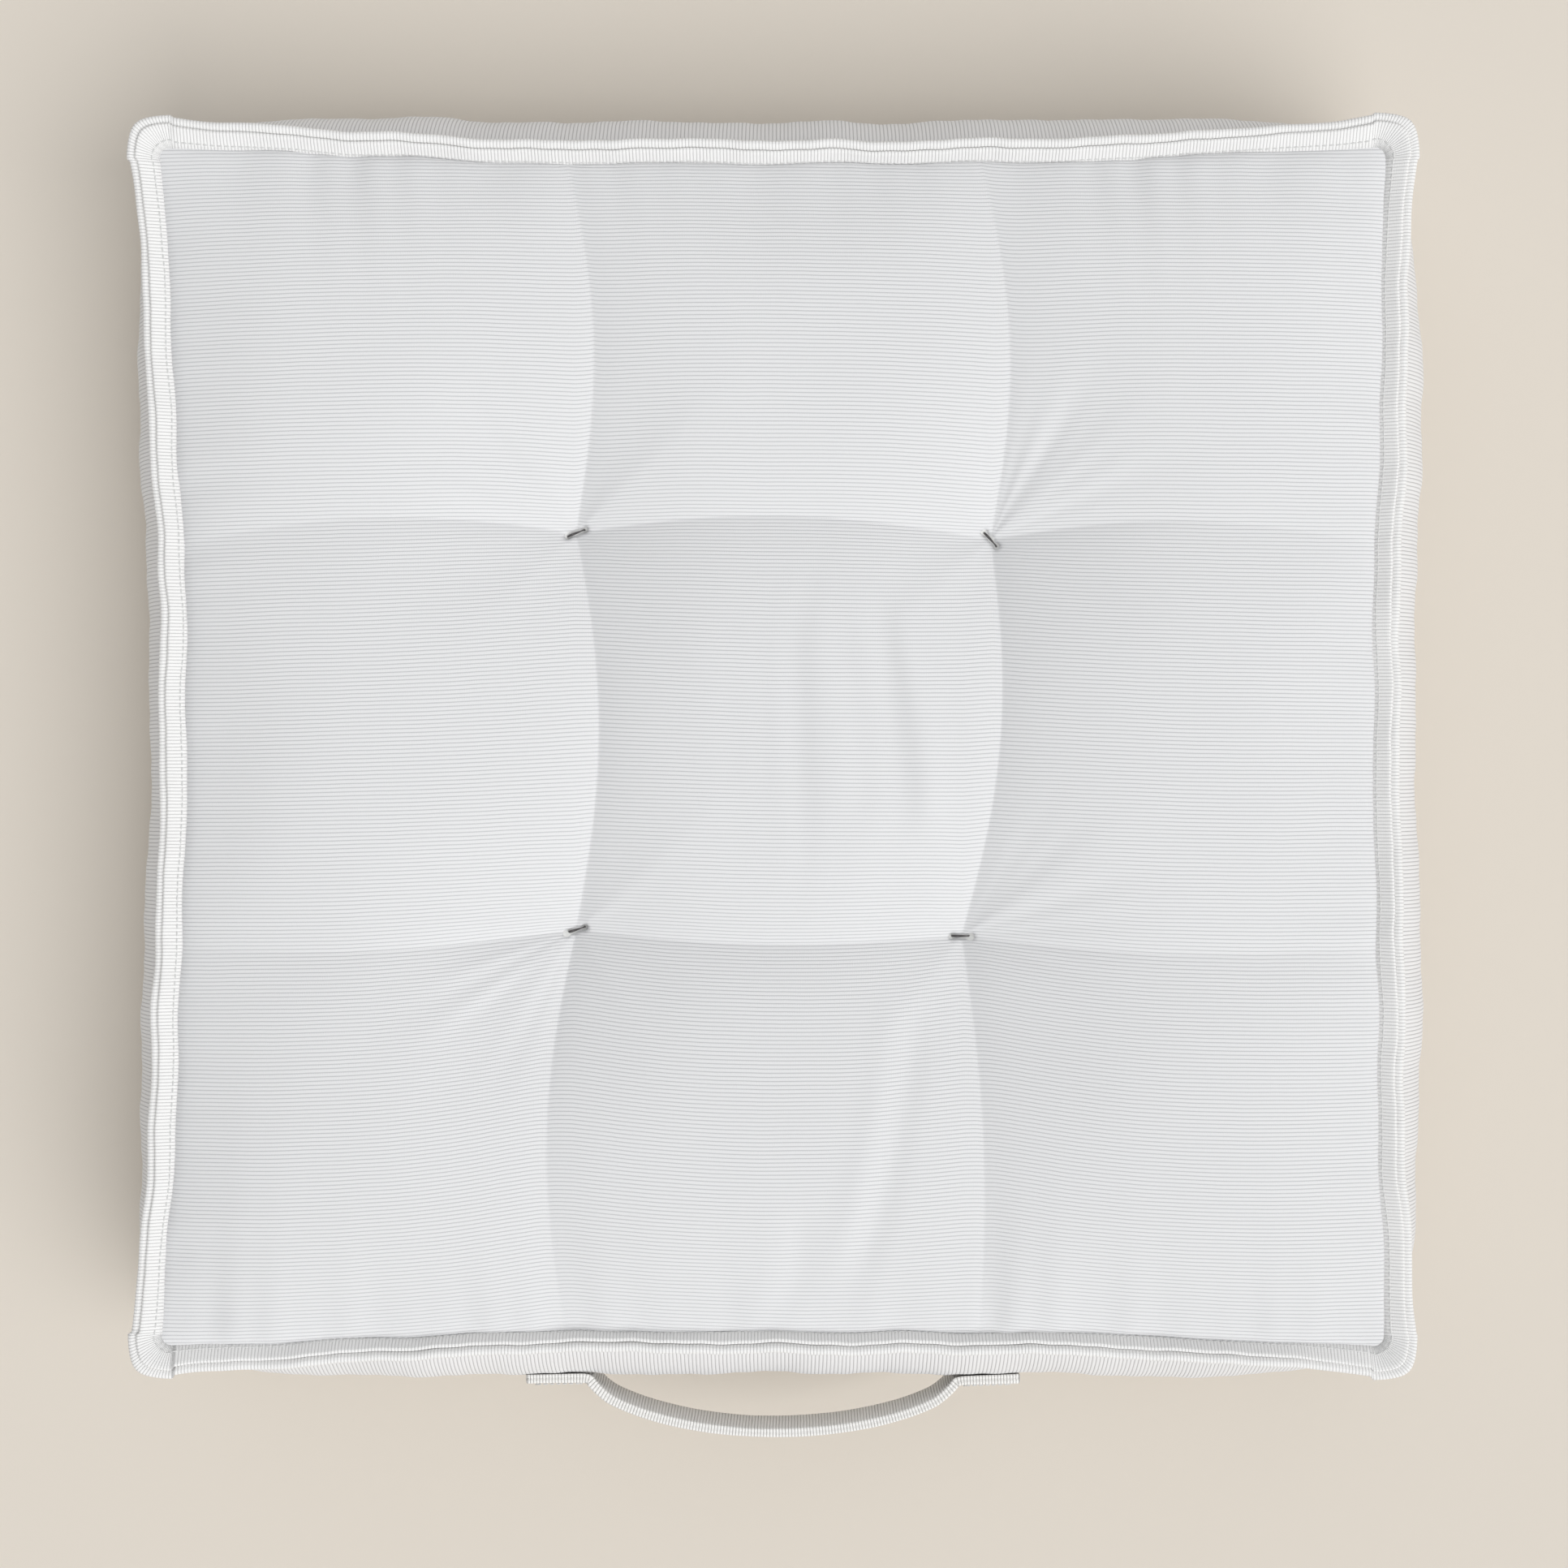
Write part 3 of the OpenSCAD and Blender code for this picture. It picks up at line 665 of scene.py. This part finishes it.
def shellObject(name, outer, inner, uv, material):
    # closed piece between two matching grids; faces look outward when rows x columns does
    rowCount, colCount = outer.shape[:2]
    count = rowCount * colCount
    index = np.arange(count).reshape(rowCount, colCount)
    a, b, c, d = (o.ravel() for o in (index[:-1, :-1], index[:-1, 1:], index[1:, 1:], index[1:, :-1]))
    rim = rimOf(index[..., None])[:, 0]
    nextRim = np.roll(rim, -1)
    faces = np.concatenate([np.stack([a, b, c, d], 1), np.stack([d, c, b, a], 1) + count,
                            np.stack([rim, rim + count, nextRim + count, nextRim], 1)])
    verts = np.concatenate([outer.reshape(-1, 3), inner.reshape(-1, 3)])
    return meshObject(name, verts, faces, np.concatenate([uv.reshape(-1, 2)] * 2), material)


def loopFaces(rowCount, colCount, flip=False):
    # faces of a sheet that closes on itself both ways
    index = np.arange(rowCount * colCount).reshape(rowCount, colCount)
    nextRow, nextCol = np.roll(index, -1, 0), np.roll(index, -1, 1)
    across = np.roll(nextRow, -1, 1)
    order = (index, nextRow, across, nextCol) if flip else (index, nextCol, across, nextRow)
    return np.stack(order, -1).reshape(-1, 4)


def declare(obj, nodes, body="cushion"):
    if body:
        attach(obj, body)
    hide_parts(*nodes)
    return obj


def mapOf(grid, ribsAlongRows):
    # cloth map in metres, with its first value along the cords
    u, v = clothSteps(grid)
    return np.stack([u, v] if ribsAlongRows else [v, u], -1)


cordPull = {"most": 0.0042, "start": 0.012, "reach": 0.080, "across": 0.040}


def drawnMap(grid):
    # the cords are drawn towards the tufts, but not by the small wrinkles and holes
    cloth = mapOf(grid, True)
    p = cordPull
    for spot in tuftSpots.values():
        dx, dy = np.abs(grid[..., 0] - spot[0]), grid[..., 1] - spot[1]
        away = np.abs(dy)
        reach = (1 - np.exp(-away / p["start"])) * np.exp(-away / p["reach"] - dx / p["across"])
        cloth[..., 1] += p["most"] * np.sign(dy) * reach
    return cloth


ply = cushion["ply"]
down = np.array([0, 0, ply])
mapA, mapB = np.meshgrid(lines, lines)
crowned = np.stack([*planOf(mapA, mapB), padHeight(mapA, mapB)], -1)
topCover = shellObject("top_panel_cover", topGrid, topGrid - down, drawnMap(crowned), clothTop)
under = bottomGrid[:, ::-1]
bottomCover = shellObject("bottom_panel_cover", under, under + down, drawnMap(crowned)[:, ::-1], clothTop)
declare(topCover, ["top_panel"])
declare(bottomCover, ["bottom_panel"])
for k, side in enumerate(sides):
    outer = bandGrids[k]
    inner = outer.copy()
    inner[..., :2] -= sideNormals[k] * ply
    cover = shellObject("band_cover_" + side, outer, inner, mapOf(outer, False), clothBand)
    declare(cover, ["band_" + side])

print("stage: sewn edges")
# tilts are in degrees above the floor; the band's fold is a little longer and fatter than the panel's
edge = {
    "long": 0.0086, "ear": 0.0010, "earStart": 0.90, "thick": 0.0022, "gap": 0.0004, "rope": 0.0036,
    "ropeLonger": 0.0028, "ropeTip": 1.12, "uneven": 0.0007,
    "topTilt": (66, 33, 58, 22), "cornerTilt": 24, "bottomTilt": 12, "tiltSway": (8, 6), "root": 0.003,
    "round": 0.0085, "turns": 15, "squareness": 5,
}


def edgeFrame(up):
    # stations round the cushion: foot of the edge, outward way, tilt above the floor and length
    grid = topGrid if up > 0 else bottomGrid
    foot, way, tilt, ear, around, square = [], [], [], [], [], []
    base = edge["cornerTilt"] if up > 0 else edge["bottomTilt"]
    for k in range(4):
        rim = sideOf(grid, k)
        keep = (1 - np.abs(lines)) * cushion["depth"] / 2 > edge["round"]
        s = lines[keep]
        side = edge["topTilt"][k] if up > 0 else edge["bottomTilt"]
        slow, quick = edge["tiltSway"]
        wander = slow * wave(k + s / 2, seeds["edgeTilt"], 5, 0.5)
        wander = (wander + quick * wave(k + s / 2, seeds["edgeTiltFine"], 6, 0.16)) * (1 if up > 0 else 0.5)
        foot.append(rim[keep])
        way.append(np.repeat(sideNormals[[k]], len(s), 0))
        tilt.append(base + (side - base) * (1 - s ** 4) + wander * (1 - s ** 8))
        ear.append(smooth01((np.abs(s) - edge["earStart"]) / (1 - edge["earStart"])))
        around.append(k + s / 2)
        square.append(np.ones(len(s)))
        # then a small round turn at the corner
        both = sideNormals[k] + sideNormals[(k + 1) % 4]
        middle = rim[-1, :2] - edge["round"] * both
        start = math.atan2(sideNormals[k][1], sideNormals[k][0])
        turn = start + np.linspace(0, math.pi / 2, edge["turns"])
        ray = np.stack([np.cos(turn), np.sin(turn)], -1)
        foot.append(np.column_stack([middle + edge["round"] * ray, np.full(len(ray), rim[-1, 2])]))
        way.append(ray)
        tilt.append(np.full(len(ray), float(base)))
        ear.append(np.ones(len(ray)))
        around.append(np.full(len(ray), k + 0.5))
        bent, power = turn - turn[0], edge["squareness"]
        square.append((np.cos(bent).clip(0) ** power + np.sin(bent) ** power) ** (-1 / power))
    foot, way, tilt, ear, around, square = (np.concatenate(p) for p in (foot, way, tilt, ear, around, square))
    # the cloth folds over a little earlier or later along the way
    size = edge["long"] + edge["ear"] * ear + edge["uneven"] * wave(around, seeds["edgeLength"], 6, 0.3)
    size = size * square
    return foot, way, np.radians(tilt), size


def edgePoint(station, up, along, across):
    # points at a distance along the sewn edge and across it, at every station
    foot, way, tilt, _ = station
    out = along * np.cos(tilt) - across * np.sin(tilt)
    rise = along * np.sin(tilt) + across * np.cos(tilt)
    return np.concatenate([foot[:, :2] + way * out[:, None], (foot[:, 2] + up * rise)[:, None]], 1)


def foldSection(inner, outer, tip):
    # rounded fold of cloth seen end on, from the foot out, round the tip and back:
    # share of the flat length, place across the edge, and a step past that share
    middle, half = (inner + outer) / 2, (outer - inner) / 2
    face = [(0, 0.8, -edge["root"]), (0.25, 1, 0), (0.6, 1, 0), (0.85, tip, 0)]
    section = [(share, middle - half * wide, step) for share, wide, step in face]
    for turn in np.radians(np.linspace(-80, 80, 7)):
        section.append((1, middle + half * tip * math.sin(turn), half * tip * math.cos(turn)))
    return section + [(share, middle + half * wide, step) for share, wide, step in face[::-1]]


def edgeFold(name, up, inner, outer, tip, extra, nodes):
    station = edgeFrame(up)
    size = station[3] + extra * station[3] / edge["long"]
    flat = size - (outer - inner) / 2 * tip
    rings = []
    for share, across, step in foldSection(inner, outer, tip):
        rings.append(edgePoint(station, up, share * flat + step, across * np.ones_like(size)))
    rings = np.array(rings)
    if up < 0:
        rings = rings[::-1]
    rings[..., 2] = np.maximum(rings[..., 2], floorClear)
    loop, count = rings.shape[:2]
    step = np.linalg.norm(np.diff(rings, axis=0), axis=2).mean(1)
    u = np.concatenate([[0], np.cumsum(step)])[:, None] * np.ones((1, count))
    tipLine = rings[loop // 2]
    walk = np.linalg.norm(np.diff(tipLine, axis=0), axis=1)
    v = np.concatenate([[0], np.cumsum(walk)])[None] * np.ones((loop, 1))
    uv = np.stack([u, v], -1).reshape(-1, 2)
    obj = meshObject(name, rings.reshape(-1, 3), loopFaces(loop, count), uv, clothFoldLit)
    return declare(obj, nodes)


gap = edge["gap"] / 2
bandNodes = ["band_" + s for s in sides]
for up, word, panel in ((1, "top", "top_panel"), (-1, "bottom", "bottom_panel")):
    edgeFold(word + "_edge_panel_fold", up, gap, gap + edge["thick"], 1.0, 0, [panel])
    rope, tip, extra = -gap - edge["rope"], edge["ropeTip"], edge["ropeLonger"]
    edgeFold(word + "_edge_band_fold", up, rope, -gap, tip, extra, bandNodes)

print("stage: stitches")


def stitchGroup():
    # small rounded stitches set along a line, each lying along it
    group = bpy.data.node_groups.new("stitches_along", "GeometryNodeTree")
    face = group.interface
    face.new_socket(name="Geometry", in_out="INPUT", socket_type="NodeSocketGeometry")
    for name in ("Spacing", "Stitch", "Thread"):
        face.new_socket(name=name, in_out="INPUT", socket_type="NodeSocketFloat")
    face.new_socket(name="Cloth Thread", in_out="INPUT", socket_type="NodeSocketMaterial")
    face.new_socket(name="Geometry", in_out="OUTPUT", socket_type="NodeSocketGeometry")

    def add(kind):
        return group.nodes.new(kind)

    def wire(a, b):
        group.links.new(a, b)
    source, out = add("NodeGroupInput"), add("NodeGroupOutput")
    path, steps = add("GeometryNodeMeshToCurve"), add("GeometryNodeResampleCurve")
    steps.mode = "LENGTH"
    place, ball = add("GeometryNodeInstanceOnPoints"), add("GeometryNodeMeshUVSphere")
    size, tangent = add("ShaderNodeCombineXYZ"), add("GeometryNodeInputTangent")
    ball.inputs["Segments"].default_value = 8
    ball.inputs["Rings"].default_value = 5
    ball.inputs["Radius"].default_value = 1
    aim = add("FunctionNodeAlignRotationToVector")
    aim.axis = "Z"
    real, paint = add("GeometryNodeRealizeInstances"), add("GeometryNodeSetMaterial")
    wire(source.outputs["Geometry"], path.inputs["Mesh"])
    wire(path.outputs["Curve"], steps.inputs["Curve"])
    wire(source.outputs["Spacing"], steps.inputs["Length"])
    wire(steps.outputs["Curve"], place.inputs["Points"])
    wire(ball.outputs["Mesh"], place.inputs["Instance"])
    wire(tangent.outputs["Tangent"], aim.inputs["Vector"])
    wire(aim.outputs["Rotation"], place.inputs["Rotation"])
    for k, name in enumerate(("Thread", "Thread", "Stitch")):
        wire(source.outputs[name], size.inputs[k])
    wire(size.outputs["Vector"], place.inputs["Scale"])
    wire(place.outputs["Instances"], real.inputs["Geometry"])
    wire(real.outputs["Geometry"], paint.inputs["Geometry"])
    wire(source.outputs["Cloth Thread"], paint.inputs["Material"])
    wire(paint.outputs["Geometry"], out.inputs["Geometry"])
    return group


stitching = stitchGroup()


def stitchesAlong(name, runs, sizes, node):
    # each run is a list of points and whether it closes
    verts, edges = [], []
    for pts, closed in runs:
        base = len(verts)
        verts += [tuple(p) for p in pts]
        edges += [(base + i, base + i + 1) for i in range(len(pts) - 1)]
        if closed:
            edges.append((base + len(pts) - 1, base))
    mesh = bpy.data.meshes.new(name)
    mesh.from_pydata(verts, edges, [])
    obj = bpy.data.objects.new(name, mesh)
    scene.collection.objects.link(obj)
    mod = obj.modifiers.new("Stitches", "NODES")
    mod.node_group = stitching
    values = {"Spacing": sizes["step"], "Stitch": sizes["stitch"], "Thread": sizes["thread"],
              "Cloth Thread": seamThread}
    for item in stitching.interface.items_tree:
        if item.item_type == "SOCKET" and item.in_out == "INPUT" and item.name in values:
            mod[item.identifier] = values[item.name]
    keepResult(obj)
    return declare(obj, [node])


# stitch and thread are half sizes; the rises are how far out from the foot of the edge a row runs
seam = {
    "step": 0.0034, "stitch": 0.00135, "thread": 0.00040,
    "rise": 0.0016, "outerRise": 0.0036, "proud": 0.0001,
}
cornerSeam = {"step": 0.0042, "stitch": 0.0015, "thread": 0.0004, "proud": 0.0003}


def seamRuns(up):
    # both faces of the sewn edge, near its foot
    station = edgeFrame(up)
    one = np.ones(len(station[2]))
    inside = edgePoint(station, up, seam["rise"] * one, (gap + edge["thick"] + seam["proud"]) * one)
    outside = edgePoint(station, up, seam["outerRise"] * one, (-gap - edge["rope"] - seam["proud"]) * one)
    return [(inside, True), (outside, True)]


for up, word in ((1, "top"), (-1, "bottom")):
    stitchesAlong(word + "_seam_stitches", seamRuns(up), seam, word + "_seam_thread")
uprights = []
for k in range(4):
    run = bandGrids[k][2:-2, 0].copy()
    run[:, :2] += (sideNormals[k] + sideNormals[k - 1]) * cornerSeam["proud"]
    uprights.append((run, False))
stitchesAlong("corner_seam_stitches", uprights, cornerSeam, "corner_seam_thread")

print("stage: tufting threads")


def tubeAround(path, radius, sections=8):
    # closed tube whose middle line is a closed run of points lying in one upright plane
    path = np.asarray(path)
    ahead = np.roll(path, -1, 0) - np.roll(path, 1, 0)
    ahead /= np.linalg.norm(ahead, axis=1, keepdims=True)
    side = np.cross(path[1] - path[0], path[len(path) // 3] - path[0])
    side = side / np.linalg.norm(side) * np.ones_like(path)
    up = np.cross(side, ahead)
    angles = np.arange(sections) / sections * 2 * np.pi
    ray = np.cos(angles)[None, :, None] * side[:, None] + np.sin(angles)[None, :, None] * up[:, None]
    rings = path[:, None] + radius * ray
    return rings.reshape(-1, 3), loopFaces(len(path), sections, flip=True)


def surfaceZ(grid, x, y):
    gap = np.hypot(grid[..., 0] - x, grid[..., 1] - y)
    return grid[..., 2].ravel()[gap.argmin()]


def tuftShape(above, below):
    # the thread's loop in its own upright plane: over the top, down, under and up again
    reach, side = tuft["stitch"] / 2, tuft["stitch"] / 2 * 0.97
    shape = []
    for t in np.linspace(-1, 1, 13):
        shape.append((reach * t, above + tuft["arch"] * (1 - t * t) - tuft["dive"] * abs(t) ** 6))
    shape += [(side, above - drop) for drop in (0.004, 0.012, 0.030)]
    shape += [(side, below + rise) for rise in (0.012, 0.004)]
    shape += [(reach * t, below - tuft["underArch"] * (1 - t * t)) for t in np.linspace(1, -1, 9)]
    shape += [(-side, below + rise) for rise in (0.004, 0.012)]
    return shape + [(-side, above - drop) for drop in (0.030, 0.012, 0.004)]


def tuftStitch(name):
    spot = tuftSpots[name]
    turn = math.radians(tuftTurn[name])
    way = np.array([math.cos(turn), math.sin(turn)])
    crosswise = np.array([-way[1], way[0]])
    above = surfaceZ(topGrid, *(spot + crosswise * tuft["beside"])) - tuft["sink"]
    below = surfaceZ(bottomGrid, *(spot + crosswise * tuft["beside"])) + tuft["sink"] / 2
    verts, faces = [], []
    for strandSide in (-1, 1):
        path = []
        for s, z in tuftShape(above, below):
            # the two strands cross once in the middle of the stitch
            off = strandSide * tuft["plies"] * math.cos(math.pi * s / tuft["stitch"] + 0.6)
            p = spot + way * s + crosswise * off
            path.append((p[0], p[1], z))
        tubeVerts, tubeFaces = tubeAround(path, tuft["strand"])
        faces.append(tubeFaces + len(verts) * len(tubeVerts))
        verts.append(tubeVerts)
    verts, faces = np.concatenate(verts), np.concatenate(faces)
    obj = meshObject("tuft_stitch_" + name, verts, faces, None, tuftThreadShaded)
    return declare(obj, ["tuft_thread_" + name])


for name in tuftNames:
    tuftStitch(name)

print("stage: filling")


def blockBetween(name, high, low, material, node):
    obj = shellObject(name, high, low, np.zeros(high.shape[:2] + (2,)), material)
    return declare(obj, [node])


core = {
    "top": 0.0955, "bottom": 0.0285, "inset": 0.972, "gap": 0.0010, "thick": 0.0030,
    "coreShare": 0.93, "lines": 72, "battingFill": 0.7, "foamFill": 1.0,
    "wrapThick": 0.003, "wrapShare": 0.995, "wrapInner": 1.004,
}
coarse = np.linspace(0, len(lines) - 1, core["lines"]).round().astype(int)


def drawnIn(grid, share):
    out = grid.copy()
    out[..., :2] *= share
    return out


padTop = drawnIn(topGrid[coarse][:, coarse], core["inset"]) - np.array([0, 0, core["thick"]])
padTop[..., 2] = np.maximum(padTop[..., 2], core["top"] + 2 * core["gap"])
flatTop = padTop.copy()
flatTop[..., 2] = core["top"] + core["gap"]
blockBetween("top_batting_fill", padTop, flatTop, battingMat, "top_batting")
padLow = drawnIn(bottomGrid[coarse][:, coarse], core["inset"]) + np.array([0, 0, core["thick"]])
padLow[..., 2] = np.minimum(padLow[..., 2], core["bottom"] - 2 * core["gap"])
flatLow = padLow.copy()
flatLow[..., 2] = core["bottom"] - core["gap"]
blockBetween("bottom_batting_fill", flatLow, padLow, battingMat, "bottom_batting")
coreHigh, coreLow = drawnIn(flatTop, core["coreShare"]), drawnIn(flatLow, core["coreShare"])
coreHigh[..., 2], coreLow[..., 2] = core["top"], core["bottom"]
coreHigh[..., :2] = coreLow[..., :2]
blockBetween("foam_core_fill", coreHigh, coreLow, foamMat, "foam_core")


def edgeWrap():
    # soft ring between the foam and the band
    outer, inner = [], []
    for k in range(4):
        grid = bandGrids[k][4:-4:3, :-1:3].copy()
        grid[..., :2] -= sideNormals[k] * core["wrapThick"]
        grid[..., :2] *= core["wrapShare"]
        outer.append(grid)
        face = sideOf(coreHigh, k)
        s = np.linspace(0, len(face) - 1, grid.shape[1] + 1)[:-1]
        base = np.stack([np.interp(s, np.arange(len(face)), face[:, i]) for i in (0, 1)], -1)
        ring = grid.copy()
        ring[..., :2] = base[None] * core["wrapInner"]
        inner.append(ring)
    outer, inner = np.concatenate(outer, 1), np.concatenate(inner, 1)
    loop = np.concatenate([outer, inner[::-1]])
    faces = loopFaces(*loop.shape[:2])
    obj = meshObject("edge_batting_fill", loop.reshape(-1, 3), faces, None, battingMat)
    return declare(obj, ["edge_batting"])


edgeWrap()

print("stage: handle")
strap = {
    "span": 0.179, "tab": 0.030, "wide": 0.032, "thick": 0.0046, "arch": 0.0238, "gap": 0.00015,
    "height": 0.062, "droop": 0.70, "groove": 0.0009, "uneven": 0.0008, "tabUneven": 0.06,
    "tabPoints": 14, "archPoints": 121, "sideInset": 0.004,
    "hugStart": 0.012, "hugReach": 0.014, "blendFrom": 0.0028, "blendTo": 0.0125,
}
tabSeam = {
    "step": 0.0032, "stitch": 0.00125, "thread": 0.00038,
    "inset": 0.004, "high": 0.0115, "proud": 0.00005,
}


def layBack(level):
    # how far the rounded band falls back at a share of its half height
    return cushion["bulge"][0] * (1 - (1 - level ** 2) ** cushion["bulgePower"])


def strapLine():
    # middle line of the strap seen from above: tab, arch, tab
    half = strap["span"] / 2
    mid = bandGrids[0][len(rows) // 2]
    tabs = np.linspace(half, half + strap["tab"], strap["tabPoints"])
    even = np.linspace(-1, 1, strap["archPoints"])
    arch = np.sin(even * np.pi / 2) * half * 0.6 + even * half * 0.4
    x = np.concatenate([-tabs[:0:-1], arch, tabs[1:]])
    touching = np.interp(x, mid[:, 0], mid[:, 1]) - strap["gap"] - strap["thick"] / 2
    face = touching.copy()
    # the sewn tabs lie straight along the band
    for tab in (x < -half, x > half):
        slope, level = np.polyfit(x[tab], face[tab], 1)
        face[tab] = slope * x[tab] + level
        face[tab] += (touching[tab] - face[tab]).min()
    t = np.clip(np.abs(x) / half, 0, 1)
    start = face[x < -half][-1], face[x > half][0]
    level = np.interp(x, [-half, half], start)
    y = np.where(np.abs(x) > half, face, level - strap["arch"] * (1 - t * t) ** strap["droop"])
    # settles smoothly where it leaves the tabs
    for _ in range(3):
        y[1:-1] = (y[:-2] + 2 * y[1:-1] + y[2:]) / 4
    z = strap["height"] + strap["uneven"] * wave(x, seeds["strapHeight"], 3, 0.3)
    return np.stack([x, y, z], -1)


def strapSection():
    # two rolled edges with a groove between, joined by flat sides
    q, h, g = strap["thick"] / 2, strap["wide"] / 2, strap["groove"]
    r = q / 2
    roll = [(q + (math.cos(a) - 1) * r, h - r + math.sin(a) * r) for a in np.radians((0, 35, 70, 105))]
    top = roll + [(0, h - g)] + [(-x, z) for x, z in roll[::-1]]
    flat = h - strap["sideInset"]
    side = [(-q * 0.92, z) for z in np.linspace(flat, -flat, 5)]
    low = [(-x, -z) for x, z in top]
    return np.array(top + side + low + [(-x, -z) for x, z in side])[::-1]


def strapRings(middle, section):
    ahead = np.gradient(middle[:, :2], axis=0)
    ahead /= np.linalg.norm(ahead, axis=1, keepdims=True)
    outward = np.stack([ahead[:, 1], -ahead[:, 0]], 1)
    swellTab = 1 + strap["tabUneven"] * wave(middle[:, 0], seeds["tabSwell"], 4, 0.1)
    # the tabs lie back against the rounded band, above and below its middle
    back = layBack(section[:, 1] / bandHalf)
    hug = smooth01((np.abs(middle[:, 0]) - strap["span"] / 2 + strap["hugStart"]) / strap["hugReach"])
    rings = []
    for i, p in enumerate(middle):
        ring = np.empty((len(section), 3))
        ring[:, :2] = p[:2] + outward[i] * section[:, :1] * swellTab[i]
        ring[:, 1] += hug[i] * back
        ring[:, 2] = p[2] + section[:, 1]
        rings.append(ring)
    return np.array(rings), ahead


def handleStrap(middle, section):
    rings, ahead = strapRings(middle, section)
    count, loop = rings.shape[:2]
    index = np.arange(count * loop).reshape(count, loop)
    turned = np.roll(index, -1, 1)
    faces = list(np.stack([index[:-1], turned[:-1], turned[1:], index[1:]], -1).reshape(-1, 4))
    verts = rings.reshape(-1, 3)
    # rounded ends: two smaller rings past each end, closed by a strip of faces
    for end, way in ((0, -1), (count - 1, 1)):
        last = index[end]
        ends = []
        for push, size in ((0.0007, 0.86), (0.0010, 0.5)):
            centre = rings[end].mean(0)
            cap = centre + (rings[end] - centre) * np.array([size, size, 0.5 + size / 2])
            cap[:, :2] += ahead[end] * way * push
            ids = np.arange(len(verts), len(verts) + loop)
            verts = np.concatenate([verts, cap])
            ends += [(last[j], last[(j + 1) % loop], ids[(j + 1) % loop], ids[j]) for j in range(loop)]
            last = ids
        ends += [(last[j], last[j + 1], last[loop - 2 - j], last[loop - 1 - j]) for j in range(loop // 2 - 1)]
        faces += [quad if way > 0 else quad[::-1] for quad in ends]
    walk = np.concatenate([[0], np.cumsum(np.linalg.norm(np.diff(middle, axis=0), axis=1))])
    girth = np.concatenate([[0], np.cumsum(np.linalg.norm(np.diff(section, axis=0), axis=1))])
    uv = np.stack([np.tile(girth, count), np.repeat(walk, loop)], -1)
    uv = np.concatenate([uv, np.tile(uv[:loop], (len(verts) // loop - count, 1))])
    piece = meshObject("handle_strap", verts, faces, uv, clothStrapLit)
    nodes = ["handle_grip", "handle_leg_left", "handle_leg_right", "handle_end_left", "handle_end_right"]
    declare(piece, nodes, body=None)
    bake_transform(piece)


def tabStitches(middle, way, word):
    # a stitched box on each tab
    near = strap["span"] / 2
    xs = np.linspace(near + tabSeam["inset"], near + strap["tab"] - tabSeam["inset"], 12)
    zs = np.linspace(-tabSeam["high"], tabSeam["high"], 14)
    outline = [(x, zs[0]) for x in xs] + [(xs[-1], z) for z in zs[1:]]
    outline += [(x, zs[-1]) for x in xs[-2::-1]] + [(xs[0], z) for z in zs[-2:0:-1]]
    run = []
    for x, z in outline:
        y = np.interp(way * x, middle[:, 0], middle[:, 1])
        y = y - strap["thick"] / 2 - tabSeam["proud"] + layBack(z / bandHalf)
        run.append((way * x, y, strap["height"] + z))
    stitchesAlong("handle_stitches_" + word, [(run, True)], tabSeam, "handle_thread_" + word)


strapMiddle = strapLine()
handleStrap(strapMiddle, strapSection())
tabStitches(strapMiddle, -1, "left")
tabStitches(strapMiddle, 1, "right")

print("stage: floor, light and camera")
studio = {
    "floorReach": 200, "floorColour": (0.72, 0.66, 0.58), "floorRough": 0.7,
    "cameraAt": (0.0054, -0.0178, 1.607), "lens": 72.2, "sensor": 36,
    "key": 2.05, "keyFrom": (0.75, -0.80, 1.45), "keySpread": 55,
    "fill": 0.38, "fillFrom": (-0.25, 1.0, 0.85), "fillSpread": 80,
    "world": 0.42, "worldColour": (0.98, 0.99, 1.0),
}
floorMat = bpy.data.materials.new("pale_floor")
floorMat.use_nodes = True
floorShader = floorMat.node_tree.nodes["Principled BSDF"]
floorShader.inputs["Base Color"].default_value = (*studio["floorColour"], 1)
floorShader.inputs["Roughness"].default_value = studio["floorRough"]
far = studio["floorReach"]
floorCorners = [(-far, -far, 0), (far, -far, 0), (far, far, 0), (-far, far, 0)]
floor = meshObject("floor", floorCorners, [(0, 1, 2, 3)], None, floorMat)

camData = bpy.data.cameras.new("camera")
camData.lens = studio["lens"]
camData.sensor_width = studio["sensor"]
cam = bpy.data.objects.new("camera", camData)
cam.location = studio["cameraAt"]
scene.collection.objects.link(cam)
scene.camera = cam


def softSun(name, power, spread, comesFrom):
    sun = bpy.data.lights.new(name, "SUN")
    sun.energy = power
    sun.angle = math.radians(spread)
    obj = bpy.data.objects.new(name, sun)
    obj.rotation_euler = Vector(comesFrom).to_track_quat("Z", "Y").to_euler()
    scene.collection.objects.link(obj)


softSun("window_light", studio["key"], studio["keySpread"], studio["keyFrom"])
softSun("fill_light", studio["fill"], studio["fillSpread"], studio["fillFrom"])
world = bpy.data.worlds.new("studio")
world.use_nodes = True
worldLight = world.node_tree.nodes["Background"]
worldLight.inputs["Color"].default_value = (*studio["worldColour"], 1)
worldLight.inputs["Strength"].default_value = studio["world"]
scene.world = world
scene.view_settings.view_transform = "Standard"
